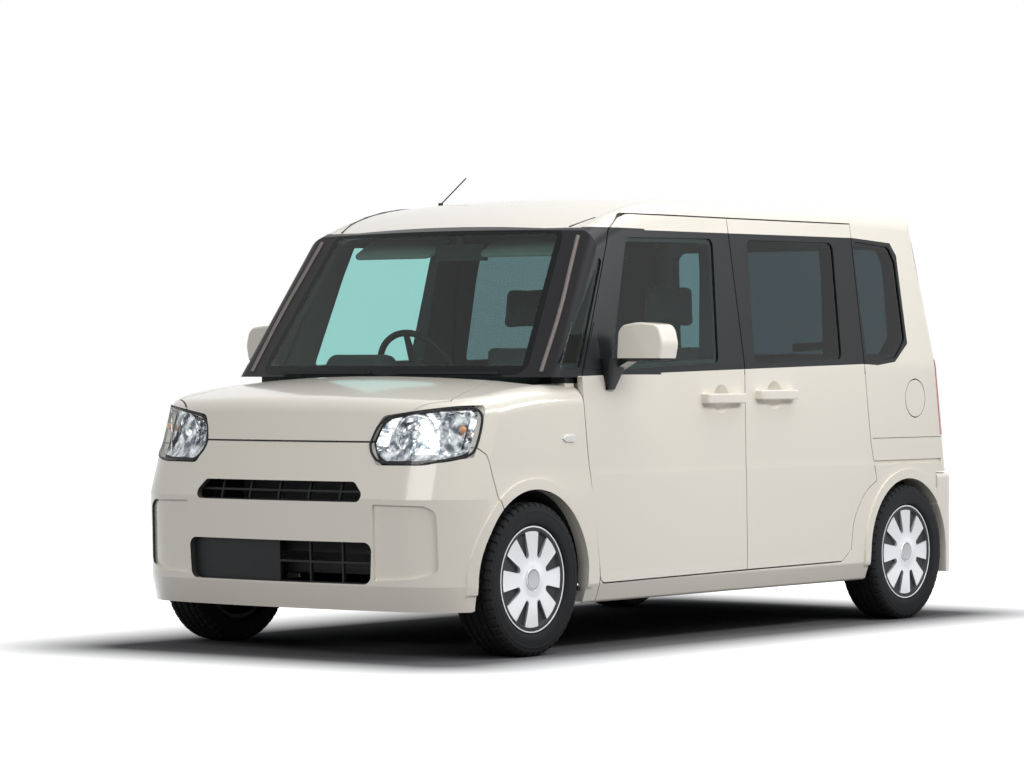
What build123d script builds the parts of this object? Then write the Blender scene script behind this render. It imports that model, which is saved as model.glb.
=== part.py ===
"""A small tall wagon with five doors: hinged front doors, sliding rear doors and a tailgate.

Millimetres, +X forward, +Y to the car's left, +Z up. The origin is on the floor under the middle of
the car. Left is the car's own left.
"""

import os
from math import radians, sin, cos, sqrt, tan

from build123d import *

os.makedirs("parts", exist_ok=True)

# Overall size and stance
length = 3395.0
width = 1475.0
roof_height = 1616.0
ground_clearance = 165.0
front_axle_x = 1190.0
wheelbase = 2455.0
wheel_radius = 262.0
tyre_width = 155.0
wheel_plane_y = 650.0
rim_radius = 182.0  # the rim's edge, where the tyre meets it
front_arch_radius = 305.0
rear_arch_radius = 287.0
arch_lip = 6.5  # how far the arch flares stand out of the sides
arch_band = 36.0
flare_inner_y = 690.0
flare_foot_z = 222.0

# Glasshouse
belt_height = 985.0
eave_height = 1523.0
eave_tuck = 80.0  # how far the sides lean in from the belt to the eaves
roof_edge_radius = 75.0
crown_radius = 7300.0
screen_base_x = 1120.0
screen_base_z = 945.0
screen_lean = 0.687  # run for each millimetre of rise
screen_bow = 4000.0  # radius of the windscreen across the car
screen_corner = 45.0
tail_x_low = -1689.0  # the tail's middle at the height of the rear bumper
tail_lean = 8.75  # degrees
tail_bow = 4000.0
tail_corner = 95.0
skin_margin = 1.5

# Walls, gaps and glass
gap = 5.0  # shut lines
floor_top = 262.0
floor_thickness = 34.0
wall_low = 92.0  # thickness of a side at the sill
wall_belt = 76.0
wall_top = 42.0
roof_thickness = 36.0
tail_thickness = 58.0
panel = 24.0  # thickness of bonnet, wings and bumpers
sash_depth = 9.0
glass = 4.0
glass_sink = sash_depth - glass  # glass lies on the flange under the sash

# Nose
bonnet_rear_x = 1092.0
bonnet_rear_z = 950.0
nose_bow = 3500.0
nose_corner = 250.0
shoulder_radius = 75.0
rear_bumper_top = 566.0

# Doors
door_front_x = 900.0
door_rear_x = -118.0
door_bottom = 242.0
slide_rear_x = -957.0

# Floor, hubs and steering
floor_front_x = 960.0
floor_rear_x = -1610.0
floor_half = 626.0
kingpin_y = 590.0
house_y = 414.0  # inner walls of the wheelhouses
house_wall = 12.0
hub_bore = 52.0
gate_front_x = -1440.0
ditch_y = 566.0
rear_bumper_reach = 215.0

# Fittings on the skin
handle_length = 254.0
handle_height = 36.0
handle_reach = 36.0  # how far a grip stands out of its door
finger_gap = 17.0
cup_radius = 52.0
cup_depth = 15.0
handle_places = {"front": (36.0, 868.0), "slide": (-318.0, 880.0)}
scoop_depth = 9.0  # the bumper's recesses beside the grilles
slot_half_low, slot_half_high, slot_z_low, slot_z_high = 392.0, 328.0, 529.0, 597.0
intake_half_low, intake_half_high, intake_z_low, intake_z_high = 396.0, 404.0, 254.0, 395.0
grille_bar = 7.0
rail_z, rail_height, rail_depth = 614.0, 18.0, 16.0
headrest_half = 130.0

front_x = length / 2
rear_x = -length / 2
side_y = width / 2 - arch_lip
belt_y = side_y - 15.0
rear_axle_x = front_axle_x - wheelbase
eave_slope = eave_tuck / (eave_height - belt_height)
top_z = roof_height + 90
crown_axis = Axis((0, 0, roof_height - crown_radius), (1, 0, 0))


def side_points(depth):
    """Half the outline across the body at a depth under its skin: y, z and corner radius."""
    return [
        (side_y - 27 - depth, ground_clearance, 14.0),
        (side_y - 5 - depth, ground_clearance + 67, 30.0),
        (side_y - depth, ground_clearance + 140, 60.0),
        (side_y - 2 - depth, ground_clearance + 375, 120.0),
        (belt_y + 6 - depth, ground_clearance + 463, 420.0),
        (belt_y - depth, belt_height, 300.0),
        (belt_y - depth - eave_slope * (top_z - belt_height), top_z, 0.0),
    ]


def upper_y(z, depth):
    """The flat upper side at a height and a depth under the skin."""
    return belt_y - depth - eave_slope * (z - belt_height)


# Whole outer and inner forms, from which the panels are cut

with BuildPart() as side_form:
    with BuildSketch(Plane.YZ.offset(rear_x - 60)) as side_sketch:
        with BuildLine():
            Polyline(
                *[(y, z) for y, z, r in side_points(0)],
                *[(-y, z) for y, z, r in reversed(side_points(0))],
                close=True,
            )
        make_face()
        for y, z, r in side_points(0)[:-1]:
            fillet([v for v in side_sketch.vertices() if abs(v.Y - z) < 0.01], r)
    extrude(amount=length + 120)

# The body this deep under the skin of its sides
core_depth = 22.0
with BuildPart() as core_form:
    with BuildSketch(Plane.YZ.offset(rear_x - 60)):
        with BuildLine():
            Polyline(
                *[(y, z) for y, z, r in side_points(core_depth)],
                *[(-y, z) for y, z, r in reversed(side_points(core_depth))],
                close=True,
            )
        make_face()
    extrude(amount=length + 120)

# Bands that lie flat under the upper sides, for sashes and side glass
bands = {}
for name, near, far in [
    ("sash", -2.0, sash_depth),
    ("glass", glass_sink, glass_sink + glass),
]:
    with BuildPart() as band:
        with BuildSketch(Plane.YZ.offset(rear_x)):
            with BuildLine():
                Polyline(
                    (upper_y(900, near), 900),
                    (upper_y(900, far), 900),
                    (upper_y(1560, far), 1560),
                    (upper_y(1560, near), 1560),
                    close=True,
                )
            make_face()
        extrude(amount=length)
        mirror(about=Plane.XZ)
    bands[name] = band.part

cabin_forms = {}
for name, roof_drop, tail_in, screen_in, side_in in [
    ("outer", 0.0, 0.0, 0.0, 0.0),
    ("inner", roof_thickness, tail_thickness, 46.0, wall_belt * 0.75),
]:
    peak = roof_height - roof_drop
    with BuildPart() as roof_form:
        with BuildSketch(Plane.XZ):
            with BuildLine():
                main = ThreePointArc((rear_x - 80, peak - 24), (-600, peak), (200, peak - 13))
                brow = TangentArc(main @ 1, (690, peak - 118), tangent=main % 1)
                run = Line(brow @ 1, brow @ 1 + (brow % 1) * 330)
                Polyline(run @ 1, (1250, peak - 420), (1250, 60), (rear_x - 80, 60), main @ 0)
            make_face()
        revolve(axis=crown_axis, revolution_arc=14)
    with BuildPart() as screen_form:
        for z in (60.0, top_z):
            base_x = screen_base_x - screen_in - (z - screen_base_z) * screen_lean
            half = upper_y(z, side_in) + skin_margin
            drop = screen_bow - sqrt(screen_bow**2 - half**2)
            with BuildSketch(Plane.XY.offset(z)) as plan:
                with BuildLine():
                    ThreePointArc((base_x - drop, half), (base_x, 0), (base_x - drop, -half))
                    Polyline((base_x - drop, half), (-2200, half), (-2200, -half), (base_x - drop, -half))
                make_face()
                fillet(plan.vertices().group_by(Axis.X)[-1], screen_corner)
        loft(ruled=True)
    with BuildPart() as tail_form:
        for z, edge in [(60.0, side_y), (belt_height, belt_y), (top_z, upper_y(top_z, 0))]:
            half = edge + skin_margin
            tail_x = tail_x_low + tail_in + (z - 480) * tan(radians(tail_lean))
            drop = tail_bow - sqrt(tail_bow**2 - half**2)
            with BuildSketch(Plane.XY.offset(z)) as plan:
                with BuildLine():
                    ThreePointArc((tail_x + drop, half), (tail_x, 0), (tail_x + drop, -half))
                    Polyline((tail_x + drop, half), (1300, half), (1300, -half), (tail_x + drop, -half))
                make_face()
                fillet(plan.vertices().group_by(Axis.X)[0], tail_corner)
        loft(ruled=True)
    with BuildPart() as cabin:
        if name == "outer":
            add(side_form.part)
        else:
            with BuildSketch(Plane.YZ.offset(rear_x - 60)):
                half = [
                    (side_y - wall_low - 8, floor_top - 60),
                    (side_y - wall_low, floor_top + 300),
                    (belt_y - wall_belt, belt_height - 20),
                    (upper_y(eave_height, wall_top), eave_height),
                    (upper_y(eave_height, wall_top) - 15, roof_height),
                ]
                with BuildLine():
                    Polyline(*half, *[(-y, z) for y, z in reversed(half)], close=True)
                make_face()
            extrude(amount=length + 120)
        add(roof_form.part.rotate(crown_axis, -7), mode=Mode.INTERSECT)
        if name == "outer":
            eaves = [
                e
                for e in cabin.edges()
                if e.center().Z > 1380 and abs(e.center().Y) > 400 and e.bounding_box().size.X > 60
            ]
            fillet([e for e in eaves if e.bounding_box().size.Y < 90], roof_edge_radius)
        add(tail_form.part, mode=Mode.INTERSECT)
        add(screen_form.part, mode=Mode.INTERSECT)
    cabin_forms[name] = cabin.part
outer_cabin = cabin_forms["outer"]
inner_cabin = cabin_forms["inner"]

# The nose: outlines seen from above, joined straight, under the bonnet's curve
nose_forms = {}
for name, inset in [("outer", 0.0), ("lens", 5.0), ("inner", panel)]:
    with BuildPart() as bonnet_form:
        with BuildSketch(Plane.XZ):
            with BuildLine():
                crest = ThreePointArc(
                    (front_x - 150, 884 - inset),
                    (1330, 927 - inset),
                    (bonnet_rear_x - 240, bonnet_rear_z + 4 - inset),
                )
                lip = TangentArc(crest @ 0, (front_x - 75, 815 - inset), tangent=-(crest % 0))
                Polyline(lip @ 1, (front_x + 120, 640), (front_x + 120, 60), (800, 60))
                Polyline((800, 60), (800, bonnet_rear_z + 4 - inset), crest @ 1)
            make_face()
        revolve(axis=crown_axis, revolution_arc=14)
    with BuildPart() as bow_form:
        for z, x, edge in [
            (60, front_x - 60, side_y),
            (250, front_x - 10, side_y),
            (540, front_x, side_y),
            (980, front_x - 132, belt_y),
        ]:
            reach = x - inset
            half = edge - inset + skin_margin
            drop = nose_bow - sqrt(nose_bow**2 - half**2)
            with BuildSketch(Plane.XY.offset(z)) as plan:
                with BuildLine():
                    ThreePointArc((reach - drop, half), (reach, 0), (reach - drop, -half))
                    Polyline((reach - drop, half), (600, half), (600, -half), (reach - drop, -half))
                make_face()
                fillet(plan.vertices().group_by(Axis.X)[-1], nose_corner - inset)
        loft(ruled=True)
    with BuildPart() as nose:
        if name == "outer":
            add(side_form.part)
        else:
            with BuildSketch(Plane.YZ):
                with BuildLine():
                    Polyline(
                        *[(y, z - (400 if z < 170 else 0)) for y, z, r in side_points(inset)],
                        *[(-y, z - (400 if z < 170 else 0)) for y, z, r in reversed(side_points(inset))],
                        close=True,
                    )
                make_face()
            extrude(amount=length)
        add(bonnet_form.part.rotate(crown_axis, -7), mode=Mode.INTERSECT)
        add(bow_form.part, mode=Mode.INTERSECT)
        shoulders = [
            e
            for e in nose.edges()
            if abs(e.center().Y) > 500 and e.center().Z > 780 and e.bounding_box().size.Z < 200
            and e.bounding_box().size.X > 20 and e.center().X > 810
        ]
        fillet(shoulders, shoulder_radius - inset)
    nose_forms[name] = nose.part
outer_nose = nose_forms["outer"]
inner_nose = nose_forms["inner"]

with BuildPart() as cabin_shell:
    add(outer_cabin)
    add(inner_cabin, mode=Mode.SUBTRACT)
with BuildPart() as nose_shell:
    add(outer_nose)
    add(inner_nose, mode=Mode.SUBTRACT)

# The left side of the cabin: its solid form, and its wall
left_forms = {}
for name, form, low_y in [("solid", outer_cabin, 560), ("wall", cabin_shell.part, 430)]:
    with BuildPart() as left_form:
        add(form)
        with Locations((0, low_y, 100)):
            Box(length + 200, 500, 1600, align=(Align.CENTER, Align.MIN, Align.MIN), mode=Mode.INTERSECT)
    left_forms[name] = left_form.part

# Outlines of doors, windows and panels, drawn from the side

with BuildSketch(Plane.XZ) as front_door_outline:
    with BuildLine():
        FilletPolyline(
            (door_rear_x, door_bottom),
            (door_front_x - 98, door_bottom - 8),
            (door_front_x - 29, 695),
            (door_front_x, 948),
            (door_front_x - 12, 985),
            (640, 1458),
            (520, 1524),
            (door_rear_x, 1527),
            radius=(30, 300, 20, 60, 80, 60),
        )
        Line((door_rear_x, 1527), (door_rear_x, door_bottom))
    make_face()
with BuildSketch(Plane.XZ) as slide_door_outline:
    with BuildLine():
        Polyline(
            (slide_rear_x + 116, 290),
            (slide_rear_x + 180, door_bottom + 4),
            (door_rear_x - gap, door_bottom),
            (door_rear_x - gap, 1527),
            (slide_rear_x - 20, 1532),
            (slide_rear_x, belt_height),
            (slide_rear_x - 37, 699),
            (slide_rear_x - 77, 545),
        )
        ThreePointArc((slide_rear_x - 77, 545), (-912, 467), (slide_rear_x + 102, 372))
        Line((slide_rear_x + 102, 372), (slide_rear_x + 116, 290))
    make_face()

windows = {}
for name, radius, corners in [
    ("front", 26, [(541, 1441), (-12, 1450), (49, 997), (733, 972)]),
    ("slide", 30, [(-238, 1452), (-838, 1458), (-800, 1012), (-190, 994)]),
    ("rear", 34, [(-983, 1469), (-1248, 1452), (-1284, 1390), (-1284, 1090), (-1200, 1020), (-1080, 1004), (-983, 1004)]),
    ("corner", 10, [(664, 1432), (915, 979), (1052, 979)]),
]:
    for size, inset in [("full", 0), ("flange", -14)]:
        with BuildPart() as window:
            with BuildSketch(Plane.XZ):
                with BuildLine():
                    FilletPolyline(*corners, radius=radius, close=True)
                make_face()
                offset(amount=inset)
            extrude(amount=-900)
        windows[name, size] = window.part

prisms = {}
for name, outline in [("front", front_door_outline), ("slide", slide_door_outline)]:
    for size, grow in [("door", 0), ("hole", gap), ("core", -9), ("post", 13)]:
        with BuildPart() as prism:
            with BuildSketch(Plane.XZ):
                add(outline.sketch)
                if grow:
                    offset(amount=grow, kind=Kind.INTERSECTION)
            extrude(amount=-900)
        prisms[name, size] = prism.part

# The dark band runs from the belt to just under the eaves
with BuildPart() as sash_zone:
    with BuildSketch(Plane.XZ):
        with BuildLine():
            Polyline(
                (1200, 950), (door_front_x, 950), (-950, 994), (-1060, 990), (-1190, 1003),
                (-1300, 1075), (-1300, 1420), (-1262, 1468), (-990, 1481), (560, 1468), (700, 1468),
                close=True,
            )
        make_face()
    extrude(amount=-900)

# The tail's opening, from behind
tailgate_corners = [  # half width, height, corner radius
    (622, rear_bumper_top + gap, 30),
    (622, 1040, 200),
    (575, 1490, 60),
    (560, 1700, 5),
]
tail_prisms = {}
for size, grow in [("gate", 0), ("hole", gap)]:
    with BuildPart() as prism:
        with BuildSketch(Plane.YZ.offset(rear_x - 60)):
            with BuildLine():
                FilletPolyline(
                    *[(y, z) for y, z, r in tailgate_corners],
                    *[(-y, z) for y, z, r in reversed(tailgate_corners)],
                    radius=[r for y, z, r in tailgate_corners + tailgate_corners[::-1]],
                    close=True,
                )
            make_face()
            if grow:
                offset(amount=grow, kind=Kind.INTERSECTION)
        extrude(amount=gate_front_x - rear_x + 60 + grow)
    tail_prisms[size] = prism.part

# The screen's opening, from in front: the glass, and the smaller hole that it covers
screen_holes = {}
for size, inset in [("glass", 0), ("flange", 16)]:
    with BuildPart() as screen_hole:
        with BuildSketch(Plane.YZ.offset(500)):
            with BuildLine():
                Polyline(
                    (-517 + inset, 1466 - inset), (-600 + inset, 953 + inset), (600 - inset, 953 + inset),
                    (517 - inset, 1466 - inset),
                )
                ThreePointArc(
                    (517 - inset, 1466 - inset), (0, 1484 - inset), (-517 + inset, 1466 - inset)
                )
            make_face()
        extrude(amount=700)
        fillet(screen_hole.edges().filter_by(Axis.X), 45)
    screen_holes[size] = screen_hole.part

# The roof lies between two ditches, the sides outside them
with BuildPart() as roof_zone:
    with Locations(((gate_front_x + gap + 900) / 2, 0, 1472)):
        Box(900 - gate_front_x - gap, 2 * ditch_y, 400, align=(Align.CENTER, Align.CENTER, Align.MIN))
with BuildPart() as side_zone:
    with BuildSketch(Plane.YZ.offset(rear_x - 60)):
        with BuildLine():
            Polyline(
                (800, 100), (800, 1700), (ditch_y + 2, 1700), (ditch_y + 2, 1471.7), (430, 1471.7),
                (430, 100), close=True,
            )
        make_face()
    extrude(amount=length + 120)

with BuildPart() as windscreen:
    add(outer_cabin)
    add(screen_holes["glass"], mode=Mode.INTERSECT)
    add(outer_cabin.translate((-7, 0, 0)), mode=Mode.SUBTRACT)
windscreen.part.label = "windscreen"

with BuildPart() as roof_panel:
    add(cabin_shell.part)
    add(roof_zone.part, mode=Mode.INTERSECT)
    add(screen_holes["flange"], mode=Mode.SUBTRACT)
    add(windscreen.part, mode=Mode.SUBTRACT)
roof_panel.part.label = "roof_panel"

# Body sides and doors

wheel_holes = []
for x, r in [(front_axle_x, front_arch_radius), (rear_axle_x, rear_arch_radius)]:
    with BuildPart() as wheel_hole:
        with BuildSketch(Plane.XZ.offset(-420)):
            with Locations((x, wheel_radius)):
                Circle(r)
            with Locations((x, wheel_radius - 200)):
                Rectangle(2 * r, 400)
        extrude(amount=-500)
    wheel_holes.append(wheel_hole.part)

# Flares round the arches, let into the skin and standing out by the arch lip
arch_flares = []
for x, r, form in [
    (front_axle_x, front_arch_radius, outer_nose),
    (rear_axle_x, rear_arch_radius, outer_cabin),
]:
    with BuildPart() as flare:
        with BuildSketch(Plane.XZ.offset(-flare_inner_y)):
            with Locations((x, wheel_radius)):
                Circle(r + arch_band)
                Circle(r - 4, mode=Mode.SUBTRACT)
            with Locations((x, flare_foot_z - 300)):
                Rectangle(900, 600, mode=Mode.SUBTRACT)
        extrude(amount=-100)
        add(form.translate((0, arch_lip, 0)), mode=Mode.INTERSECT)
    arch_flares.append(flare.part)

# The dark band: its whole thickness is let into the side, its windows are cut afterwards
with BuildPart() as sash_blank:
    add(left_forms["solid"])
    add(bands["sash"], mode=Mode.INTERSECT)
    add(sash_zone.part, mode=Mode.INTERSECT)
with BuildPart() as side_blank:
    add(sash_blank.part)
    for cutter in (prisms["front", "hole"], prisms["slide", "hole"], windscreen.part):
        add(cutter, mode=Mode.SUBTRACT)
    with Locations((200, 600, 900)):
        Box(700, 500, 700, align=(Align.CENTER, Align.CENTER, Align.MIN), mode=Mode.SUBTRACT)
with BuildPart() as side_trim:
    add(side_blank.part)
    add(windows["rear", "full"], mode=Mode.SUBTRACT)
    add(windows["corner", "full"], mode=Mode.SUBTRACT)

# What stands behind the front wing and carries the door's hinges
with BuildPart() as hinge_post:
    with BuildSketch(Plane.XZ.offset(-(floor_half + 2))):
        with BuildLine():
            Polyline(
                (door_front_x - 84, floor_top - 28), (door_front_x - 34, floor_top - 28),
                (door_front_x - 30, 330), (door_front_x + 54, 566), (floor_front_x - 1, 590),
                (floor_front_x - 1, 952), (door_front_x + 9, 952), close=True,
            )
        make_face()
    extrude(amount=-(belt_y - panel - 8 - floor_half - 2))

with BuildPart() as side_common:
    add(left_forms["wall"])
    add(side_zone.part, mode=Mode.INTERSECT)
    # the nose and the rear bumper are pieces of their own
    with Locations((806, 400, 100)):
        Box(700, 500, 846.3, align=Align.MIN, mode=Mode.SUBTRACT)
    add(hinge_post.part)
    add(arch_flares[1])
    # the sliding door's rail runs in a groove under its cover
    with Locations(((slide_rear_x - 52 + rear_x + 170) / 2, side_y + 8, rail_z)):
        Box(
            slide_rear_x - 52 - rear_x - 170, 2 * rail_depth + 16, rail_height, mode=Mode.SUBTRACT,
        )
    with Locations((rear_x, 600, 100)):
        Box(
            2 * rear_bumper_reach, 500, rear_bumper_top - 100 + gap,
            align=(Align.CENTER, Align.CENTER, Align.MIN), mode=Mode.SUBTRACT,
        )
    for cutter in (
        prisms["front", "hole"], prisms["slide", "hole"], tail_prisms["hole"], screen_holes["flange"],
        windscreen.part, side_blank.part, windows["rear", "flange"], windows["corner", "flange"],
        wheel_holes[1],
    ):
        add(cutter, mode=Mode.SUBTRACT)

def side_skin(z):
    """The door's skin between the shoulder and the belt."""
    shoulder_y, shoulder_z, _ = side_points(0)[4]
    return belt_y + (shoulder_y - belt_y) * (belt_height - z) / (belt_height - shoulder_z)


doors = {}
for name in ("front", "slide"):
    with BuildPart() as blank:
        add(sash_blank.part)
        add(prisms[name, "door"], mode=Mode.INTERSECT)
    with BuildPart() as sash:
        add(blank.part)
        add(windows[name, "full"], mode=Mode.SUBTRACT)
    with BuildPart() as pane:
        add(bands["glass"])
        add(windows[name, "full"], mode=Mode.INTERSECT)
    with BuildPart() as rim:
        add(prisms[name, "door"])
        add(prisms[name, "core"], mode=Mode.SUBTRACT)
        add(core_form.part, mode=Mode.INTERSECT)
    with BuildPart() as door:
        add(left_forms["wall"])
        add(prisms[name, "door"], mode=Mode.INTERSECT)
        with Locations((0, ditch_y + 2, 0)):
            Box(3000, 400, 1700, align=(Align.CENTER, Align.MIN, Align.MIN), mode=Mode.INTERSECT)
        add(windows[name, "flange"], mode=Mode.SUBTRACT)
        add(blank.part, mode=Mode.SUBTRACT)
        add(rim.part, mode=Mode.SUBTRACT)
        # the round cup behind the grip
        handle_x, handle_z = handle_places[name]
        skin_y = side_skin(handle_z)
        cup_sphere = (cup_radius**2 + cup_depth**2) / (2 * cup_depth)
        with Locations((handle_x, skin_y - cup_depth + cup_sphere, handle_z)):
            Sphere(cup_sphere, mode=Mode.SUBTRACT)
    with BuildPart() as grip:
        with BuildSketch(Plane.XY.offset(handle_z - handle_height / 2)):
            rear, front = handle_x - handle_length / 2, handle_x + handle_length / 2
            foot, face = skin_y - 6, skin_y + handle_reach
            with BuildLine():
                FilletPolyline(
                    (rear, foot), (rear, face - 4), (handle_x, face + 1), (front, face - 4),
                    (front, foot), (front - 34, foot), (front - 46, skin_y + finger_gap),
                    (rear + 46, skin_y + finger_gap), (rear + 34, foot),
                    radius=(1, 14, 200, 14, 1, 1, 10, 10, 1), close=True,
                )
            make_face()
        extrude(amount=handle_height)
        outer_edges = grip.edges().filter_by(
            lambda e: e.center().Y > skin_y + finger_gap + 6 and e.bounding_box().size.Z < 1
        )
        fillet(outer_edges, 6)
        add(left_forms["solid"], mode=Mode.SUBTRACT)
    doors[name] = (door.part, sash.part, pane.part, grip.part)

with BuildPart() as tailgate_blank:
    add(cabin_shell.part)
    add(tail_prisms["gate"], mode=Mode.INTERSECT)

# Bonnet, wings, bumper and headlamps

bonnet_plan = [(front_x + 60, 386), (1645, 386), (1576, 493), (1494, 600), (bonnet_rear_x, 493)]
bonnet_prisms = {}
for size, grow in [("lid", 0.0), ("hole", gap)]:
    with BuildPart() as prism:
        with BuildSketch(Plane.XY.offset(733 - grow)):
            with BuildLine():
                Polyline(*bonnet_plan)
                ThreePointArc(bonnet_plan[-1], (bonnet_rear_x + 46, 0), (bonnet_rear_x, -493))
                Polyline(*[(x, -y) for x, y in reversed(bonnet_plan)])
                Line((front_x + 60, -386), (front_x + 60, 386))
            make_face()
            if grow:
                offset(amount=grow, kind=Kind.INTERSECTION)
        extrude(amount=400)
    bonnet_prisms[size] = prism.part

# The headlamp's outline from in front, and the leaning edge of it that shows from the side
lamp_corners = [  # y, z, corner radius
    (402, 656, 20),
    (361, 730, 34),
    (394, 813, 30),
    (500, 829, 300),
    (640, 848, 300),
    (780, 852, 1),
    (780, 704, 1),
    (690, 682, 120),
    (575, 657, 200),
]
lamp_rear = [(1496, 560), (1496, 672), (1430, 842), (1430, 960)]
lamp_prisms = {}
for size, grow in [("lens", 0.0), ("hole", 4.0), ("bowl", -12.0)]:
    with BuildPart() as prism:
        with BuildSketch(Plane.YZ.offset(1380)):
            with BuildLine():
                FilletPolyline(
                    *[(y, z) for y, z, r in lamp_corners],
                    radius=[r for y, z, r in lamp_corners],
                    close=True,
                )
            make_face()
            if grow:
                offset(amount=grow, kind=Kind.INTERSECTION)
        extrude(amount=400)
        with BuildSketch(Plane.XZ.offset(-300)):
            with BuildLine():
                Polyline(
                    *[(x - grow, z) for x, z in lamp_rear], (1900, 960), (1900, 560), close=True,
                )
            make_face()
        extrude(amount=-600, mode=Mode.INTERSECT)
    lamp_prisms[size] = prism.part

with BuildPart() as wing_line:
    with BuildSketch(Plane.XZ.offset(800)):
        with BuildLine():
            Polyline(
                (1800, 40), (1800, 727), (1500, 727), (1446, 686), (1400, 545), (1330, 430), (1330, 40),
                close=True,
            )
        make_face()
    extrude(amount=-1600)
with BuildPart() as wing_line_wide:
    with BuildSketch(Plane.XZ.offset(800)):
        with BuildLine():
            Polyline(
                (1800, 40), (1800, 732), (1498, 732), (1442, 689), (1395, 548), (1326, 432), (1326, 40),
                close=True,
            )
        make_face()
    extrude(amount=-1600)

with BuildPart() as bonnet:
    add(nose_shell.part)
    add(bonnet_prisms["lid"], mode=Mode.INTERSECT)
    for side in (0, 1):
        cut = lamp_prisms["hole"] if side == 0 else mirror(lamp_prisms["hole"], about=Plane.XZ, mode=Mode.PRIVATE)
        add(cut, mode=Mode.SUBTRACT)
bonnet.part.label = "bonnet"

with BuildPart() as front_fender_left:
    add(nose_shell.part)
    with Locations((1300, 650, 100)):
        Box(1200, 560, 900, align=(Align.CENTER, Align.CENTER, Align.MIN), mode=Mode.INTERSECT)
    add(hinge_post.part, mode=Mode.SUBTRACT)
    add(arch_flares[0])
    for cutter in (
        bonnet_prisms["hole"], wheel_holes[0], lamp_prisms["hole"], wing_line_wide.part,
        prisms["front", "hole"],
    ):
        add(cutter, mode=Mode.SUBTRACT)
    with Locations((700, 600, 0)):
        Box(2 * 111, 500, 1100, align=(Align.CENTER, Align.CENTER, Align.MIN), mode=Mode.SUBTRACT)
    with Locations((1150, 450, 946)):
        Box(800, 1000, 60, align=(Align.CENTER, Align.CENTER, Align.MIN), mode=Mode.SUBTRACT)
    # the cowl lies behind the bonnet, between the wings
    with Locations((960, 250, 700)):
        Box(270, 800, 300, align=(Align.CENTER, Align.CENTER, Align.MIN), mode=Mode.SUBTRACT)

with BuildPart() as front_bumper:
    add(nose_shell.part)
    for flare in (arch_flares[0], mirror(arch_flares[0], about=Plane.XZ, mode=Mode.PRIVATE)):
        add(flare)
    add(wing_line.part, mode=Mode.INTERSECT)
    for cutter in (
        wheel_holes[0], mirror(wheel_holes[0], about=Plane.XZ, mode=Mode.PRIVATE),
        lamp_prisms["hole"], mirror(lamp_prisms["hole"], about=Plane.XZ, mode=Mode.PRIVATE),
    ):
        add(cutter, mode=Mode.SUBTRACT)
    # scoops beside the grilles
    with BuildPart(mode=Mode.PRIVATE) as scoop:
        with BuildSketch(Plane.YZ.offset(1500)):
            with BuildLine():
                FilletPolyline(
                    (intake_half_high + 6, 268), (560, 276), (636, 300), (632, 500), (596, 520),
                    (intake_half_high + 6, 522), radius=(6, 200, 30, 30, 20, 6), close=True,
                )
            make_face()
        extrude(amount=300)
        add(outer_nose.translate((-scoop_depth, -scoop_depth / 2, 0)), mode=Mode.SUBTRACT)
    add(scoop.part, mode=Mode.SUBTRACT)
    add(mirror(scoop.part, about=Plane.XZ, mode=Mode.PRIVATE), mode=Mode.SUBTRACT)
    for z_low, z_high, half_low, half_high, r in [
        (slot_z_low, slot_z_high, slot_half_low, slot_half_high, 22),
        (intake_z_low, intake_z_high, intake_half_low, intake_half_high, 30),
    ]:
        with BuildSketch(Plane.YZ.offset(1500)):
            with BuildLine():
                FilletPolyline(
                    (-half_low, z_low), (half_low, z_low), (half_high, z_high), (-half_high, z_high),
                    radius=r, close=True,
                )
            make_face()
        extrude(amount=300, mode=Mode.SUBTRACT)

with BuildPart() as headlamps:
    add(outer_nose.translate((-34, -16, 0)))
    add(lamp_prisms["bowl"], mode=Mode.INTERSECT)
    mirror(about=Plane.XZ)
with BuildPart() as headlamp_lenses:
    add(outer_nose)
    add(lamp_prisms["lens"], mode=Mode.INTERSECT)
    add(nose_forms["lens"], mode=Mode.SUBTRACT)
    mirror(about=Plane.XZ)

# Floor, bulkhead and the hidden frame

load_floor_x, load_floor_length = -1112.0, 480.0
load_floor_half, load_floor_rise = 400.0, 16.0
with BuildPart() as floor_pan:
    with Locations(((floor_front_x + floor_rear_x) / 2, 0, floor_top - floor_thickness)):
        Box(floor_front_x - floor_rear_x, 2 * floor_half, floor_thickness,
            align=(Align.CENTER, Align.CENTER, Align.MIN))
    # wheelhouses: the front ones are notches, the rear ones have walls of their own
    for side in (1, -1):
        with BuildSketch(Plane.XZ.offset(-side * house_y)):
            with Locations((rear_axle_x, wheel_radius)):
                Circle(rear_arch_radius + house_wall)
            with Locations((rear_axle_x, floor_top - floor_thickness - 300)):
                Rectangle(900, 600, mode=Mode.SUBTRACT)
        extrude(amount=-side * (floor_half - house_y))
        with BuildSketch(Plane.XZ.offset(-side * (house_y + house_wall))):
            with Locations((rear_axle_x, wheel_radius)):
                Circle(rear_arch_radius)
        extrude(amount=-side * 300, mode=Mode.SUBTRACT)
        with BuildSketch(Plane.XZ.offset(-side * (house_y - 4))):
            with Locations((front_axle_x, wheel_radius)):
                Circle(front_arch_radius + house_wall)
        extrude(amount=-side * 300, mode=Mode.SUBTRACT)
    # the luggage floor
    with Locations((load_floor_x, 0, floor_top)):
        Box(load_floor_length, 2 * load_floor_half, load_floor_rise,
            align=(Align.MAX, Align.CENTER, Align.MIN))
    # the low panel that the rear bumper hangs on
    with Locations((floor_rear_x, 0, floor_top - floor_thickness)):
        Box(14, 2 * 590, rear_bumper_top - 36 - floor_top + floor_thickness,
            align=(Align.MAX, Align.CENTER, Align.MIN))

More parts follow.
